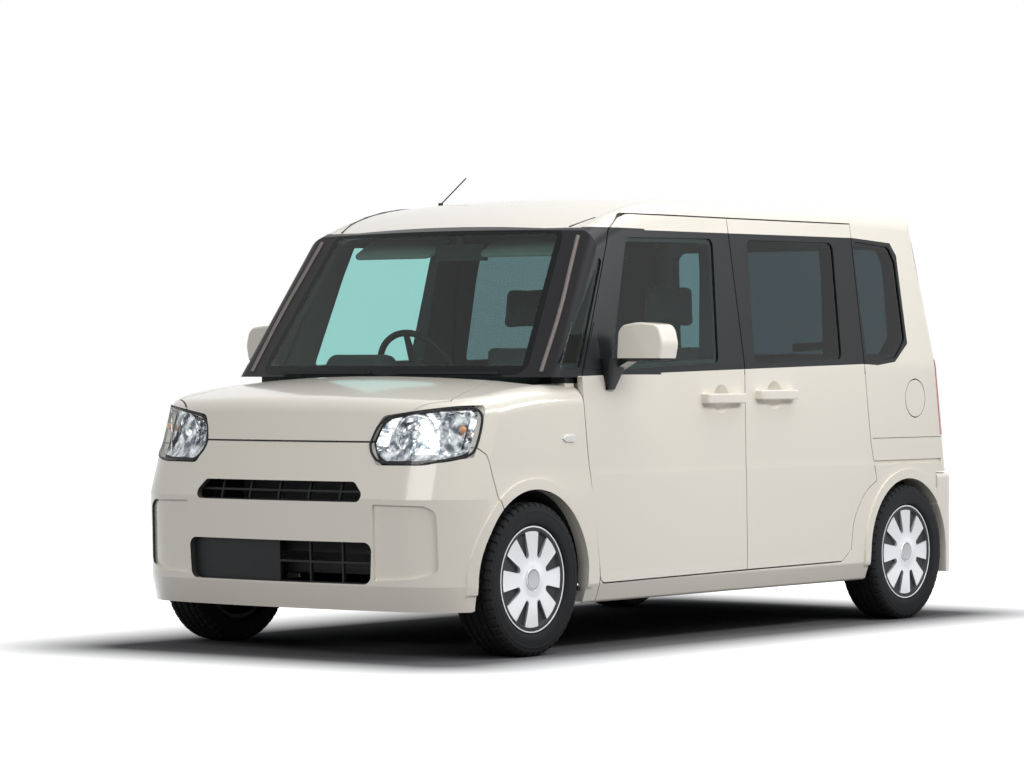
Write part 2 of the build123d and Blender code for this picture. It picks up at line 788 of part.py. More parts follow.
with BuildPart() as bulkhead:
    with Locations((floor_front_x, 0, floor_top - floor_thickness)):
        Box(24, 2 * 590, 670, align=(Align.MIN, Align.CENTER, Align.MIN))
    # the cowl under the screen
    with BuildSketch(Plane.XZ.offset(-585)):
        with BuildLine():
            Polyline(
                (floor_front_x, 880), (bonnet_rear_x - 8, 880), (bonnet_rear_x - 8, 926),
                (1044, 939), (1000, 939), (floor_front_x, 900), close=True,
            )
        make_face()
    extrude(amount=2 * 585)
    for side in (1, -1):
        with BuildSketch(Plane.XZ.offset(-side * (house_y - 4))):
            with Locations((front_axle_x, wheel_radius)):
                Circle(front_arch_radius + house_wall)
        extrude(amount=-side * 300, mode=Mode.SUBTRACT)
    add(nose_shell.part, mode=Mode.SUBTRACT)
bulkhead_solid = max(bulkhead.solids(), key=lambda s: s.volume)

with BuildPart() as front_structure:
    for side in (1, -1):
        with Locations(((floor_front_x + 24 + 1600) / 2, side * (house_y - 26), 400)):
            Box(1600 - floor_front_x - 24, 48, 96)
        # wheelhouse: a half drum with an inner wall
        with BuildSketch(Plane.XZ.offset(-side * (house_y - 2))):
            with Locations((front_axle_x, wheel_radius)):
                Circle(front_arch_radius + house_wall)
            with Locations((front_axle_x, wheel_radius - 500)):
                Rectangle(1000, 1000, mode=Mode.SUBTRACT)
        extrude(amount=-side * (belt_y - panel - 10 - house_y))
        with BuildSketch(Plane.XZ.offset(-side * (house_y + 6))):
            with Locations((front_axle_x, wheel_radius)):
                Circle(front_arch_radius)
        extrude(amount=-side * 300, mode=Mode.SUBTRACT)
        with BuildSketch(Plane.XZ.offset(-side * (house_y - 10))):
            with Locations((front_axle_x, wheel_radius)):
                Circle(70)
        extrude(amount=-side * 30, mode=Mode.SUBTRACT)
    with Locations((1603, 0, 400)):
        Box(24, 930, 90)
    for z in (300, 640):
        with Locations((1560, 0, z)):
            Box(28, 2 * (house_y - 50), 36)
    for side in (1, -1):
        with Locations((1560, side * (house_y - 35), 470)):
            Box(28, 30, 376)

with BuildPart() as engine:
    with Locations((1290, -20, 500)):
        Box(330, 640, 400)

with BuildPart() as front_suspension:
    with Locations((front_axle_x - 10, 0, 205)):
        Box(170, 760, 50)
    for side in (1, -1):
        with BuildSketch(Plane.XY.offset(180)):
            with BuildLine():
                Polyline(
                    (front_axle_x - 95, side * 380), (front_axle_x + 75, side * 380),
                    (front_axle_x + 26, side * 612), (front_axle_x - 26, side * 612), close=True,
                )
            make_face()
        extrude(amount=14)
        with Locations((front_axle_x, side * 527, wheel_radius + 90)):
            Cylinder(
                17, front_arch_radius - 91, align=(Align.CENTER, Align.CENTER, Align.MIN),
            )

beam_x, beam_z = rear_axle_x + 80, 196.0
with BuildPart() as rear_axle:
    with BuildSketch(Plane.XZ.offset(-570)):
        with Locations((beam_x, beam_z)):
            Circle(26)
    extrude(amount=1140)
    for side in (1, -1):
        with BuildSketch(Plane.XZ.offset(-side * 530)):
            with BuildLine():
                FilletPolyline(
                    (beam_x + 20, beam_z - 30), (beam_x + 20, beam_z + 30), (rear_axle_x + 50, 316),
                    (rear_axle_x - 50, 316), (rear_axle_x - 50, 210), radius=16, close=True,
                )
            make_face()
        extrude(amount=-side * 40)
        # the arm's front end stands on the sill's closing plate
        arm_length = rear_axle_x + rear_arch_radius - beam_x
        with Locations((beam_x, side * 500, beam_z + 2)):
            Box(arm_length, 36, 40, align=(Align.MIN, Align.CENTER, Align.CENTER))
        with BuildSketch(Plane.XZ.offset(-side * 569)):
            with Locations((rear_axle_x, wheel_radius)):
                Circle(hub_bore / 2 - 0.6)
        extrude(amount=-side * 103)

with BuildPart() as fuel_tank:
    with Locations((-520, 0, floor_top - floor_thickness - 25)):
        Box(520, 760, 50)

with BuildPart() as exhaust:
    with BuildSketch(Plane.YZ.offset(-1300)):
        with Locations((-380, 150)):
            Circle(19)
    extrude(amount=-360)
    with Locations((-1420, -380, 182)):
        Box(150, 220, 84)

with BuildPart() as knuckle:
    with BuildSketch(Plane.XZ.offset(-(kingpin_y - 26))):
        with Locations((front_axle_x, wheel_radius)):
            Circle(50)
    extrude(amount=-46)
    with Locations((front_axle_x, kingpin_y - 14, wheel_radius)):
        Box(44, 24, 126)
    # the ball joints stand on the kingpin's line
    with Locations((front_axle_x, kingpin_y, wheel_radius)):
        Cylinder(12, 132)
    with BuildSketch(Plane.XZ.offset(-(kingpin_y + 20))):
        with Locations((front_axle_x, wheel_radius)):
            Circle(hub_bore / 2 - 0.6)
    extrude(amount=-62)

tread_half = tyre_width / 2
with BuildPart() as tyre:
    with BuildSketch(Plane.XY):
        with BuildLine():
            Polyline(
                (rim_radius, -tread_half), (wheel_radius - 12, -tread_half),
                (wheel_radius, -tread_half + 14), (wheel_radius, tread_half - 14),
                (wheel_radius - 12, tread_half), (rim_radius, tread_half), close=True,
            )
        make_face()
    revolve(axis=Axis.Y)
tyre_form = tyre.part

# The disc lies near the outer side, its eight openings are drops that widen outwards
disc_y, cover_holes = tread_half - 20, 8
with BuildPart() as wheel:
    with BuildSketch(Plane.XY):
        with BuildLine():
            Polyline(
                (0, disc_y + 12), (38, disc_y + 12), (46, disc_y), (156, disc_y), (166, disc_y + 10),
                (rim_radius, disc_y + 10), (rim_radius, -disc_y), (rim_radius - 14, -disc_y),
                (rim_radius - 14, disc_y - 7), (60, disc_y - 7), (60, -30), (hub_bore / 2, -30),
                (hub_bore / 2, 26), (0, 26), close=True,
            )
        make_face()
    revolve(axis=Axis.Y)
    with BuildSketch(Plane.XZ.offset(-tread_half)):
        with PolarLocations(0, cover_holes):
            with BuildSketch(mode=Mode.PRIVATE) as drop_shape:
                with BuildLine():
                    FilletPolyline(
                        (78, -7), (78, 7), (153, 19), (153, -19), radius=(5, 5, 13, 13), close=True,
                    )
                make_face()
            add(drop_shape.sketch)
    extrude(amount=tread_half - disc_y + 12, mode=Mode.SUBTRACT)
wheel_form = wheel.part

# Cabin

with BuildPart() as dashboard:
    with BuildSketch(Plane.XZ.offset(-575)):
        with BuildLine():
            FilletPolyline(
                (floor_front_x, 880), (floor_front_x, 640), (700, 600), (640, 700), (620, 860),
                (700, 950), (floor_front_x, 955),
                radius=(20, 60, 40, 40, 30), close=False,
            )
            Line((floor_front_x, 955), (floor_front_x, 880))
        make_face()
    extrude(amount=1150)

seat_x = -60.0
with BuildPart() as front_seats:
    for side in (1, -1):
        with Locations((seat_x + 170, side * 325, floor_top + 0.3)):
            Box(470, 400, 60, align=(Align.CENTER, Align.CENTER, Align.MIN))
        with Locations((seat_x + 160, side * 325, floor_top + 60)):
            Box(520, 470, 250, align=(Align.CENTER, Align.CENTER, Align.MIN))
        with BuildSketch(Plane.XZ.offset(-side * 325)):
            with BuildLine():
                Polyline(
                    (seat_x - 100, floor_top + 200), (seat_x + 20, floor_top + 240),
                    (seat_x - 110, floor_top + 850), (seat_x - 190, floor_top + 850), close=True,
                )
            make_face()
        extrude(amount=230, both=True)
        with BuildSketch(Plane.XZ.offset(-side * 325)):
            with BuildLine():
                Polyline(
                    (seat_x - 118, floor_top + 840), (seat_x - 168, floor_top + 840),
                    (seat_x - 190, floor_top + 1040), (seat_x - 120, floor_top + 1040), close=True,
                )
            make_face()
        extrude(amount=headrest_half, both=True)

with BuildPart() as rear_seat:
    with Locations((-780, 0, floor_top + 0.3)):
        Box(420, 860, 280, align=(Align.CENTER, Align.CENTER, Align.MIN))
    with BuildSketch(Plane.XZ.offset(-430)):
        with BuildLine():
            Polyline(
                (-990, floor_top + 250), (-900, floor_top + 270), (-1000, floor_top + 820),
                (-1090, floor_top + 820), close=True,
            )
        make_face()
    extrude(amount=860)
    # the seat is narrower between the wheelhouses
    for side in (1, -1):
        with BuildSketch(Plane.XZ.offset(-side * (house_y - gap))):
            with Locations((rear_axle_x, wheel_radius)):
                Circle(rear_arch_radius + house_wall + gap)
        extrude(amount=-side * 100, mode=Mode.SUBTRACT)

column_angle = 24.0
steer_plane = Plane(origin=(470, -345, 955), z_dir=(-cos(radians(column_angle)), 0, sin(radians(column_angle))))
with BuildPart() as steering_wheel:
    with BuildSketch(steer_plane):
        Circle(180)
        Circle(160, mode=Mode.SUBTRACT)
        Circle(55)
        Rectangle(340, 34)
    extrude(amount=12, both=True)
with BuildPart() as steering_column:
    with BuildSketch(steer_plane.offset(-18)):
        Circle(28)
    extrude(amount=-200)
    add(dashboard.part, mode=Mode.SUBTRACT)

# Grille, mirrors and rear bumper

with BuildPart() as grille:
    add(inner_nose.translate((-0.3, 0, 0)))
    # a carrier behind both openings; slots leave its bars, and the far half stays closed below
    with BuildSketch(Plane.YZ.offset(1500)):
        slot_z, slot_height = (slot_z_low + slot_z_high) / 2, slot_z_high - slot_z_low
        intake_z, intake_height = (intake_z_low + intake_z_high) / 2, intake_z_high - intake_z_low
        with Locations((0, slot_z)):
            Rectangle(2 * slot_half_low + 24, slot_height + 24)
        with Locations((0, intake_z)):
            Rectangle(2 * intake_half_high + 24, intake_height + 24)
        with Locations((0, (slot_z + intake_z) / 2)):
            Rectangle(40, slot_z - intake_z)
        pitch = (2 * slot_half_low) / 6
        with Locations((0, slot_z)):
            with GridLocations(pitch, slot_height / 2, 6, 2):
                Rectangle(pitch - grille_bar, slot_height / 2 - grille_bar, mode=Mode.SUBTRACT)
        cell = intake_half_high / 3
        with Locations((intake_half_high / 2, intake_z)):
            with GridLocations(cell, intake_height / 2, 3, 2):
                Rectangle(cell - grille_bar, intake_height / 2 - grille_bar, mode=Mode.SUBTRACT)
    extrude(amount=300, mode=Mode.INTERSECT)
    add(inner_nose.translate((-12, 0, 0)), mode=Mode.SUBTRACT)

with BuildPart() as mirror_left:
    with BuildSketch(Plane.YZ.offset(650)):
        with BuildLine():
            FilletPolyline(
                (748, 1004), (934, 1004), (946, 1062), (930, 1128), (840, 1138), (756, 1124),
                radius=(10, 14, 60, 40, 200, 40), close=True,
            )
        make_face()
    extrude(amount=96)
    front_edges = mirror_left.edges().group_by(Axis.X)[-1]
    fillet(front_edges, 9)
    with BuildSketch(Plane.YZ.offset(680)):
        with BuildLine():
            Polyline((700, 950), (800, 1004), (760, 1004), (700, 985), close=True)
        make_face()
    extrude(amount=60)
    add(doors["front"][0], mode=Mode.SUBTRACT)
    add(doors["front"][1], mode=Mode.SUBTRACT)
    add(doors["front"][2], mode=Mode.SUBTRACT)
    with Locations((700, 640, 900)):
        Box(300, 120, 300, mode=Mode.SUBTRACT)

with BuildPart() as rear_bumper:
    with BuildSketch(Plane.XY.offset(ground_clearance + 8)):
        with BuildLine():
            half = side_y - 1
            drop = 5200 - sqrt(5200**2 - half**2)
            ThreePointArc((rear_x + drop, half), (rear_x, 0), (rear_x + drop, -half))
            Polyline((rear_x + drop, half), (rear_axle_x, half), (rear_axle_x, -half), (rear_x + drop, -half))
        make_face()
    extrude(amount=rear_bumper_top - ground_clearance - 8)
    fillet(rear_bumper.edges().filter_by(Axis.Z).group_by(Axis.X)[0], 105)
    fillet(rear_bumper.faces().sort_by(Axis.Z)[-1].edges().filter_by(lambda e: e.center().X < -1300), 22)
    with BuildSketch(Plane.XY.offset(ground_clearance)):
        with BuildLine():
            Polyline((rear_x + 60, 640), (rear_x + 60, -640), (-1280, -(side_y - 25)), (-1280, side_y - 25), close=True)
        make_face()
    extrude(amount=rear_bumper_top - ground_clearance - 30, mode=Mode.SUBTRACT)
    with Locations((rear_x + rear_bumper_reach - gap, 0, 0)):
        Box(600, 1600, 800, align=(Align.MIN, Align.CENTER, Align.MIN), mode=Mode.SUBTRACT)
    for cutter in (wheel_holes[1], mirror(wheel_holes[1], about=Plane.XZ, mode=Mode.PRIVATE)):
        add(cutter, mode=Mode.SUBTRACT)
    with Locations((-1500, 0, 400)):
        Box(200, 1200, 400, mode=Mode.SUBTRACT)

# Fuel lid, lamps and glass
fuel_lid_x, fuel_lid_z, fuel_lid_radius = -1335.0, 861.0, 72.0
with BuildPart() as lid_disc:
    with BuildSketch(Plane.XZ.offset(-600)):
        with Locations((fuel_lid_x, fuel_lid_z)):
            Circle(fuel_lid_radius)
    extrude(amount=-200)
with BuildPart() as lid_well:
    with BuildSketch(Plane.XZ.offset(-(belt_y - 36))):
        with Locations((fuel_lid_x, fuel_lid_z)):
            Circle(fuel_lid_radius + gap)
    extrude(amount=-100)

with BuildPart() as fuel_lid:
    add(left_forms["solid"])
    add(lid_disc.part, mode=Mode.INTERSECT)
    add(left_forms["solid"].translate((0, -7, 0)), mode=Mode.SUBTRACT)

with BuildPart() as tail_lamp_prism:
    with BuildSketch(Plane.YZ.offset(-1800)):
        with BuildLine():
            FilletPolyline((636, 713), (760, 713), (760, 1015), (640, 1015), radius=12, close=True)
        make_face()
    extrude(amount=1800 - 1560)
with BuildPart() as tail_lamps:
    add(left_forms["wall"])
    add(tail_lamp_prism.part, mode=Mode.INTERSECT)
    mirror(about=Plane.XZ)

with BuildPart() as side_with_lamp:
    add(side_common.part)
    add(tail_lamps.part, mode=Mode.SUBTRACT)
with BuildPart() as body_side_left:
    add(side_with_lamp.part)
    add(lid_well.part, mode=Mode.SUBTRACT)
side_right = mirror(side_with_lamp.part, about=Plane.XZ)

with BuildPart() as tailgate_window:
    with BuildSketch(Plane.YZ.offset(-1800)):
        with BuildLine():
            FilletPolyline(
                (-560, 1020), (560, 1020), (528, 1470), (-528, 1470), radius=50, close=True,
            )
        make_face()
    extrude(amount=400)
with BuildPart() as tailgate_glass:
    add(outer_cabin)
    add(tailgate_window.part, mode=Mode.INTERSECT)
    add(outer_cabin.translate((6, 0, 0)), mode=Mode.SUBTRACT)
with BuildPart() as tailgate_window_hole:
    with BuildSketch(Plane.YZ.offset(-1800)):
        with BuildLine():
            FilletPolyline(
                (-544, 1036), (544, 1036), (514, 1454), (-514, 1454), radius=40, close=True,
            )
        make_face()
    extrude(amount=400)
with BuildPart() as tailgate:
    add(tailgate_blank.part)
    add(tailgate_window_hole.part, mode=Mode.SUBTRACT)
    add(tailgate_glass.part, mode=Mode.SUBTRACT)

with BuildPart() as quarter_glass:
    add(bands["glass"])
    add(windows["rear", "full"], mode=Mode.INTERSECT)
with BuildPart() as corner_glass:
    add(bands["glass"])
    add(windows["corner", "full"], mode=Mode.INTERSECT)
    add(outer_cabin, mode=Mode.INTERSECT)
with BuildPart() as privacy_glasses:
    for pane in (quarter_glass.part, doors["slide"][2]):
        add(pane)
        add(mirror(pane, about=Plane.XZ, mode=Mode.PRIVATE))
with BuildPart() as corner_glasses:
    add(corner_glass.part)
    add(mirror(corner_glass.part, about=Plane.XZ, mode=Mode.PRIVATE))
with BuildPart() as side_trims:
    add(side_trim.part)
    add(mirror(side_trim.part, about=Plane.XZ, mode=Mode.PRIVATE))
    add(doors["slide"][1])
    add(mirror(doors["slide"][1], about=Plane.XZ, mode=Mode.PRIVATE))

# Wipers, aerial and inner mirror
wiper_z = 957.0
wiper_base = screen_base_x - (wiper_z - screen_base_z) * screen_lean
with BuildPart() as wipers:
    for y0, y1 in ((60, 500), (-480, -40)):
        with BuildSketch(Plane.XY.offset(wiper_z)):
            with BuildLine():
                near, far = [
                    [
                        (wiper_base + out - screen_bow + sqrt(screen_bow**2 - y**2), y)
                        for y in (y0, (y0 + y1) / 2, y1)
                    ]
                    for out in (4, 13)
                ]
                ThreePointArc(*near)
                ThreePointArc(*far)
                Line(near[0], far[0])
                Line(near[2], far[2])
            make_face()
        extrude(amount=9)
with BuildPart() as rear_wiper:
    with BuildSketch(Plane.YZ.offset(-1800)):
        with BuildLine():
            FilletPolyline((-20, 1046), (20, 1046), (330, 1078), (330, 1092), (-20, 1080), radius=6, close=True)
        make_face()
    extrude(amount=400)
    add(outer_cabin.translate((-12, 0, 0)), mode=Mode.INTERSECT)
    add(outer_cabin, mode=Mode.SUBTRACT)
with BuildPart() as slide_handles:
    add(doors["slide"][3])
    mirror(about=Plane.XZ)
with BuildPart() as antenna:
    with Locations((130, -500, roof_height - 50)):
        Cylinder(9, 40, align=(Align.CENTER, Align.CENTER, Align.MIN))
    with BuildSketch(Plane(origin=(130, -500, roof_height - 16), z_dir=(-0.83, 0, 0.56))):
        Circle(2.5)
    extrude(amount=190)
    add(roof_panel.part, mode=Mode.SUBTRACT)
antenna_solid = max(antenna.solids(), key=lambda s: s.center().Z)
with BuildPart() as inner_mirror:
    with Locations((650, 0, 1395)):
        Box(24, 220, 60)
        Box(30, 24, 200, align=(Align.CENTER, Align.CENTER, Align.MIN))
    add(roof_panel.part, mode=Mode.SUBTRACT)
mirror_solid = min(inner_mirror.solids(), key=lambda s: s.center().Z)

front_fender = max(front_fender_left.solids(), key=lambda s: s.volume)

pieces = {
    "floor_pan": floor_pan.part,
    "bulkhead": bulkhead_solid,
    "front_structure": front_structure.part,
    "body_side_left": body_side_left.part,
    "body_side_right": side_right,
    "roof_panel": roof_panel.part,
    "windscreen": windscreen.part,
    "corner_glasses": corner_glasses.part,
    "privacy_glasses": privacy_glasses.part,
    "side_trims": side_trims.part,
    "front_fender_left": front_fender,
    "front_fender_right": mirror(front_fender, about=Plane.XZ),
    "front_bumper": front_bumper.part,
    "grille": grille.part,
    "headlamps": headlamps.part,
    "headlamp_lenses": headlamp_lenses.part,
    "bonnet": bonnet.part,
    "door_left": doors["front"][0],
    "door_right": mirror(doors["front"][0], about=Plane.XZ),
    "door_sash_left": doors["front"][1],
    "door_sash_right": mirror(doors["front"][1], about=Plane.XZ),
    "door_glass_left": doors["front"][2],
    "door_glass_right": mirror(doors["front"][2], about=Plane.XZ),
    "handle_left": doors["front"][3],
    "handle_right": mirror(doors["front"][3], about=Plane.XZ),
    "slide_handles": slide_handles.part,
    "mirror_left": mirror_left.part,
    "mirror_right": mirror(mirror_left.part, about=Plane.XZ),
    "slide_door_left": doors["slide"][0],
    "slide_door_right": mirror(doors["slide"][0], about=Plane.XZ),
    "tailgate": tailgate.part,
    "tailgate_glass": tailgate_glass.part,
    "tail_lamps": tail_lamps.part,
    "rear_wiper": rear_wiper.part,
    "rear_bumper": rear_bumper.part,
    "fuel_lid": fuel_lid.part,
    "dashboard": dashboard.part,
    "steering_wheel": steering_wheel.part,
    "steering_column": steering_column.part,
    "front_seats": front_seats.part,
    "rear_seat": rear_seat.part,
    "inner_mirror": mirror_solid,
    "engine": engine.part,
    "front_suspension": front_suspension.part,
    "rear_axle": rear_axle.part,
    "fuel_tank": fuel_tank.part,
    "exhaust": exhaust.part,
    "wipers": wipers.part,
    "antenna": antenna_solid,
    "knuckle_left": knuckle.part,
    "knuckle_right": mirror(knuckle.part, about=Plane.XZ),
}
for name, x, side in [
    ("front_left", front_axle_x, 1),
    ("front_right", front_axle_x, -1),
    ("rear_left", rear_axle_x, 1),
    ("rear_right", rear_axle_x, -1),
]:
    for piece, form in [("wheel", wheel_form), ("tyre", tyre_form)]:
        placed = form.translate((x, wheel_plane_y, wheel_radius))
        pieces[f"{piece}_{name}"] = placed if side > 0 else mirror(placed, about=Plane.XZ)

for name, piece in pieces.items():
    piece.label = name
    export_step(piece, f"parts/{name}.step")
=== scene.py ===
"""A small tall wagon in cream paint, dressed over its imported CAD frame.

Metres, +X forward, +Y to the car's left, +Z up. Left is the car's own left.
"""

from math import atan2, cos, exp, hypot, pi, radians, sin

import bmesh
import bpy
from mathutils import Euler, Matrix, Vector


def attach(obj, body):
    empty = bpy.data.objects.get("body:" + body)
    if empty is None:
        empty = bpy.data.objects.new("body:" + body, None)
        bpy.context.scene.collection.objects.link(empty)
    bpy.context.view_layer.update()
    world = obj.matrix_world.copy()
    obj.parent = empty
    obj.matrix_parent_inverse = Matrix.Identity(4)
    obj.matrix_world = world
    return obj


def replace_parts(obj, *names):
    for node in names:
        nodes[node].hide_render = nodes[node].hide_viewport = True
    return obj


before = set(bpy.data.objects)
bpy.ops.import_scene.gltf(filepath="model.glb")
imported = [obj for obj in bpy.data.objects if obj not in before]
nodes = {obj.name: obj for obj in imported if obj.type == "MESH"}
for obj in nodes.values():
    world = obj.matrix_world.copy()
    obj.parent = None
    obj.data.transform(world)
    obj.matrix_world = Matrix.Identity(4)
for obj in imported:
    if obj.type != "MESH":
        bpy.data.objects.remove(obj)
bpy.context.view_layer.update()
scene = bpy.context.scene
scene.view_settings.view_transform = "Standard"

# The camera stands low, ahead of the car's left front corner, with a long lens.
camera_place = Vector((11.434, 8.289, 0.968))
camera_heading, camera_dip = -143.22, 0.2
camera_turn = Euler((radians(90 - camera_dip), 0, radians(camera_heading - 90)))
lens_mm, sensor_mm = 132.3, 36
bpy.ops.object.camera_add(location=camera_place, rotation=camera_turn)
camera = bpy.context.object
camera.data.lens = lens_mm
camera.data.sensor_width = sensor_mm
camera.data.clip_end = 200
scene.camera = camera


# Materials are written as expressions: every operator on a socket adds one Math node.
class Socket:
    """A shader socket or number on which Python's operators add Math nodes."""

    def __init__(self, shader, value):
        self.shader, self.value = shader, value

    def math(self, operation, *others):
        values = [self.value] + [o.value if isinstance(o, Socket) else o for o in others]
        return self.shader.node("ShaderNodeMath", {"operation": operation}, dict(enumerate(values)))

    def __add__(self, other):
        return self.math("ADD", other)

    def __radd__(self, other):
        return self.math("ADD", other)

    def __sub__(self, other):
        return self.math("SUBTRACT", other)

    def __rsub__(self, other):
        return Socket(self.shader, other).math("SUBTRACT", self)

    def __mul__(self, other):
        return self.math("MULTIPLY", other)

    def __rmul__(self, other):
        return self.math("MULTIPLY", other)

    def __truediv__(self, other):
        return self.math("DIVIDE", other)

    def __gt__(self, other):
        return self.math("GREATER_THAN", other)

    def __lt__(self, other):
        return self.math("LESS_THAN", other)

    def abs(self):
        return self.math("ABSOLUTE")


class Shader:
    """A material whose nodes are added by expressions."""

    def __init__(self, name, **sockets):
        self.material = bpy.data.materials.new(name)
        self.material.use_nodes = True
        self.tree = self.material.node_tree
        self.surface = self.tree.nodes["Principled BSDF"]
        self.set(**sockets)

    def feed(self, socket, value):
        """Links a value to a socket, or sets it there."""
        value = value.value if isinstance(value, Socket) else value
        if isinstance(value, bpy.types.NodeSocket):
            self.tree.links.new(value, socket)
        else:
            socket.default_value = value

    def node(self, kind, settings=None, values=None, output=0):
        """Adds a node, its settings first, and hands back one of its outputs."""
        node = self.tree.nodes.new(kind)
        for name, value in (settings or {}).items():
            setattr(node, name, value)
        for name, value in (values or {}).items():
            self.feed(node.inputs[name], value)
        return Socket(self, node.outputs[output])

    def set(self, **sockets):
        for name, value in sockets.items():
            self.feed(self.surface.inputs[name.replace("_", " ").title().replace("Ior", "IOR")], value)

    def show(self, surface):
        """Makes a surface the one that the material shows."""
        self.feed(self.tree.nodes["Material Output"].inputs["Surface"], surface)

    def point(self):
        """The point on the car."""
        return self.node("ShaderNodeTexCoord", output="Object")

    def axes(self, vector):
        """The X, Y and Z of a point or a direction."""
        split = self.tree.nodes.new("ShaderNodeSeparateXYZ")
        self.feed(split.inputs[0], vector)
        return [Socket(self, out) for out in split.outputs]

    def noise(self, point, scale, detail=2.0, roughness=0.5):
        values = {"Vector": point, "Scale": scale, "Detail": detail, "Roughness": roughness}
        return self.node("ShaderNodeTexNoise", None, values)

    def mix(self, factor, first, second):
        values = {0: factor, 6: first, 7: second}
        return self.node("ShaderNodeMix", {"data_type": "RGBA"}, values, output=2)

    def bump(self, height, distance, strength=1.0):
        values = {"Height": height, "Distance": distance, "Strength": strength}
        return self.node("ShaderNodeBump", None, values)


# Stage: a wide matt white floor, pure white far off. Near the car it keeps the car's cast shadow, and a
# painted shadow, a grey round the car's footprint, darkens it further. The surroundings are white to
# the eye, in mirrors and through glass, and dim to every other ray.
car_half_length, car_half_width = 1.62, 0.66
painted_shadow_grey, bounce_grey = (0.16, 0.16, 0.165, 1), (0.2, 0.2, 0.2, 1)


def shine_white(shader, colour, near, far):
    """Matt, with a painted shadow by the car, and glowing white far off to the rays that see the white
    stage.
    """
    x, y = shader.axes(shader.point())[:2]
    ahead, aside = [
        (axis.abs() - half).math("MAXIMUM", 0.0)
        for axis, half in ((x, car_half_length), (y, car_half_width))
    ]
    away = (ahead * ahead + aside * aside).math("SQRT")
    past_painted_shadow = ((away - near) / (far - near)).math("MAXIMUM", 0.0).math("MINIMUM", 1.0)
    bounced, seen, mirrored, through = [
        shader.node("ShaderNodeLightPath", output=f"Is {kind} Ray")
        for kind in ("Diffuse", "Camera", "Glossy", "Transmission")
    ]
    # painted shadow: round the car's footprint the floor's colour turns grey and its white glow goes out
    matt = shader.mix(past_painted_shadow, painted_shadow_grey, (*colour, 1))
    glow = (seen + mirrored + through).math("MINIMUM", 1.0) * past_painted_shadow
    shader.set(
        base_color=shader.mix(bounced, matt, bounce_grey), roughness=0.9, specular_ior_level=0.0,
        emission_color=shader.mix(glow, (0, 0, 0, 1), (1, 1, 1, 1)), emission_strength=1.0,
    )


bpy.ops.mesh.primitive_plane_add(size=60, location=(0, 0, 0))
floor = bpy.context.object
floor.name = "floor"
floor_white = Shader("floor_white")
shine_white(floor_white, (0.8, 0.8, 0.81), 0.1, 0.8)
floor.data.materials.append(floor_white.material)

world = scene.world or bpy.data.worlds.new("studio")
scene.world = world
world.use_nodes = True
sky = world.node_tree
rays = sky.nodes.new("ShaderNodeLightPath")
white = sky.nodes.new("ShaderNodeBackground")
white.inputs["Color"].default_value = (1, 1, 1, 1)
dim = sky.nodes["Background"]
dim.inputs["Color"].default_value = (0.93, 0.96, 1.0, 1)
dim.inputs["Strength"].default_value = 0.24
backdrop = sky.nodes.new("ShaderNodeMixShader")
seen = [sky.nodes.new("ShaderNodeMath") for step in range(2)]
for step, extra in zip(seen, ("Is Glossy Ray", "Is Transmission Ray")):
    step.use_clamp = True
    sky.links.new(rays.outputs[extra], step.inputs[1])
sky.links.new(rays.outputs["Is Camera Ray"], seen[0].inputs[0])
sky.links.new(seen[0].outputs[0], seen[1].inputs[0])
sky.links.new(seen[1].outputs[0], backdrop.inputs[0])
sky.links.new(dim.outputs[0], backdrop.inputs[1])
sky.links.new(white.outputs[0], backdrop.inputs[2])
sky.links.new(backdrop.outputs[0], sky.nodes["World Output"].inputs["Surface"])

# Softboxes: a long one over the roof, one ahead of the nose and one along the left side.
for name, place, aim, size, watts in [
    ("over_roof", (-0.5, 1.5, 5.0), (0, 0, 0.8), (6.0, 3.0), 140),
    ("ahead", (6.5, 1.0, 3.2), (1.4, 0, 0.7), (4.0, 2.0), 120),
    ("left_side", (-0.3, 3.2, 2.4), (-0.3, 0.7, 1.0), (5.2, 0.7), 78),
]:
    bpy.ops.object.light_add(type="AREA", location=place)
    lamp = bpy.context.object
    lamp.name = name
    lamp.rotation_euler = (Vector(aim) - Vector(place)).to_track_quat("-Z", "Y").to_euler()
    lamp.data.shape = "RECTANGLE"
    lamp.data.size, lamp.data.size_y = size
    lamp.data.energy = watts
    lamp.visible_camera = False


# Body panels: pressed steel in cream pearl paint under clear lacquer. Where a panel faces the cabin
# it carries moulded dark grey trim, and the roof's underside a pale headlining.
cream_deep, cream_pale = (0.775, 0.733, 0.645, 1), (0.795, 0.753, 0.665, 1)
pearl, headlining = (0.88, 0.85, 0.78, 1), (0.42, 0.41, 0.38, 1)
film_black, joint_shade = (0.012, 0.012, 0.014, 1), (0.06, 0.058, 0.052, 1)
low_black = (0.014, 0.0145, 0.016, 1)
# the side's skin at the belt, and how far it leans in for each metre up
belt_y, belt_z, side_slope = 0.716, 0.985, 0.080 / 0.538
# the band of the side windows, from its foot to the roof, and from the tail to the screen
window_foot, window_top = 0.955, 1.474
window_tail_x, window_nose_x, door_frame_x = -1.455, 0.93, 0.42
rail_cover_foot, rail_cover_top, rail_cover_x = 0.7065, 0.7095, -1.012


def between(value, low, high):
    """1 where a value lies between two numbers."""
    return (value > low) * (value < high)


def turned_in(shader, y, z):
    """1 where a face looks into the cabin, by the way it faces, and 1 where it is the roof's underside."""
    sideways, upwards = shader.axes(shader.node("ShaderNodeTexCoord", output="Normal"))[1:]
    inward = (sideways * y.math("SIGN")) < -0.35
    under = (upwards < -0.6) * (z > 1.0)
    return inward, under


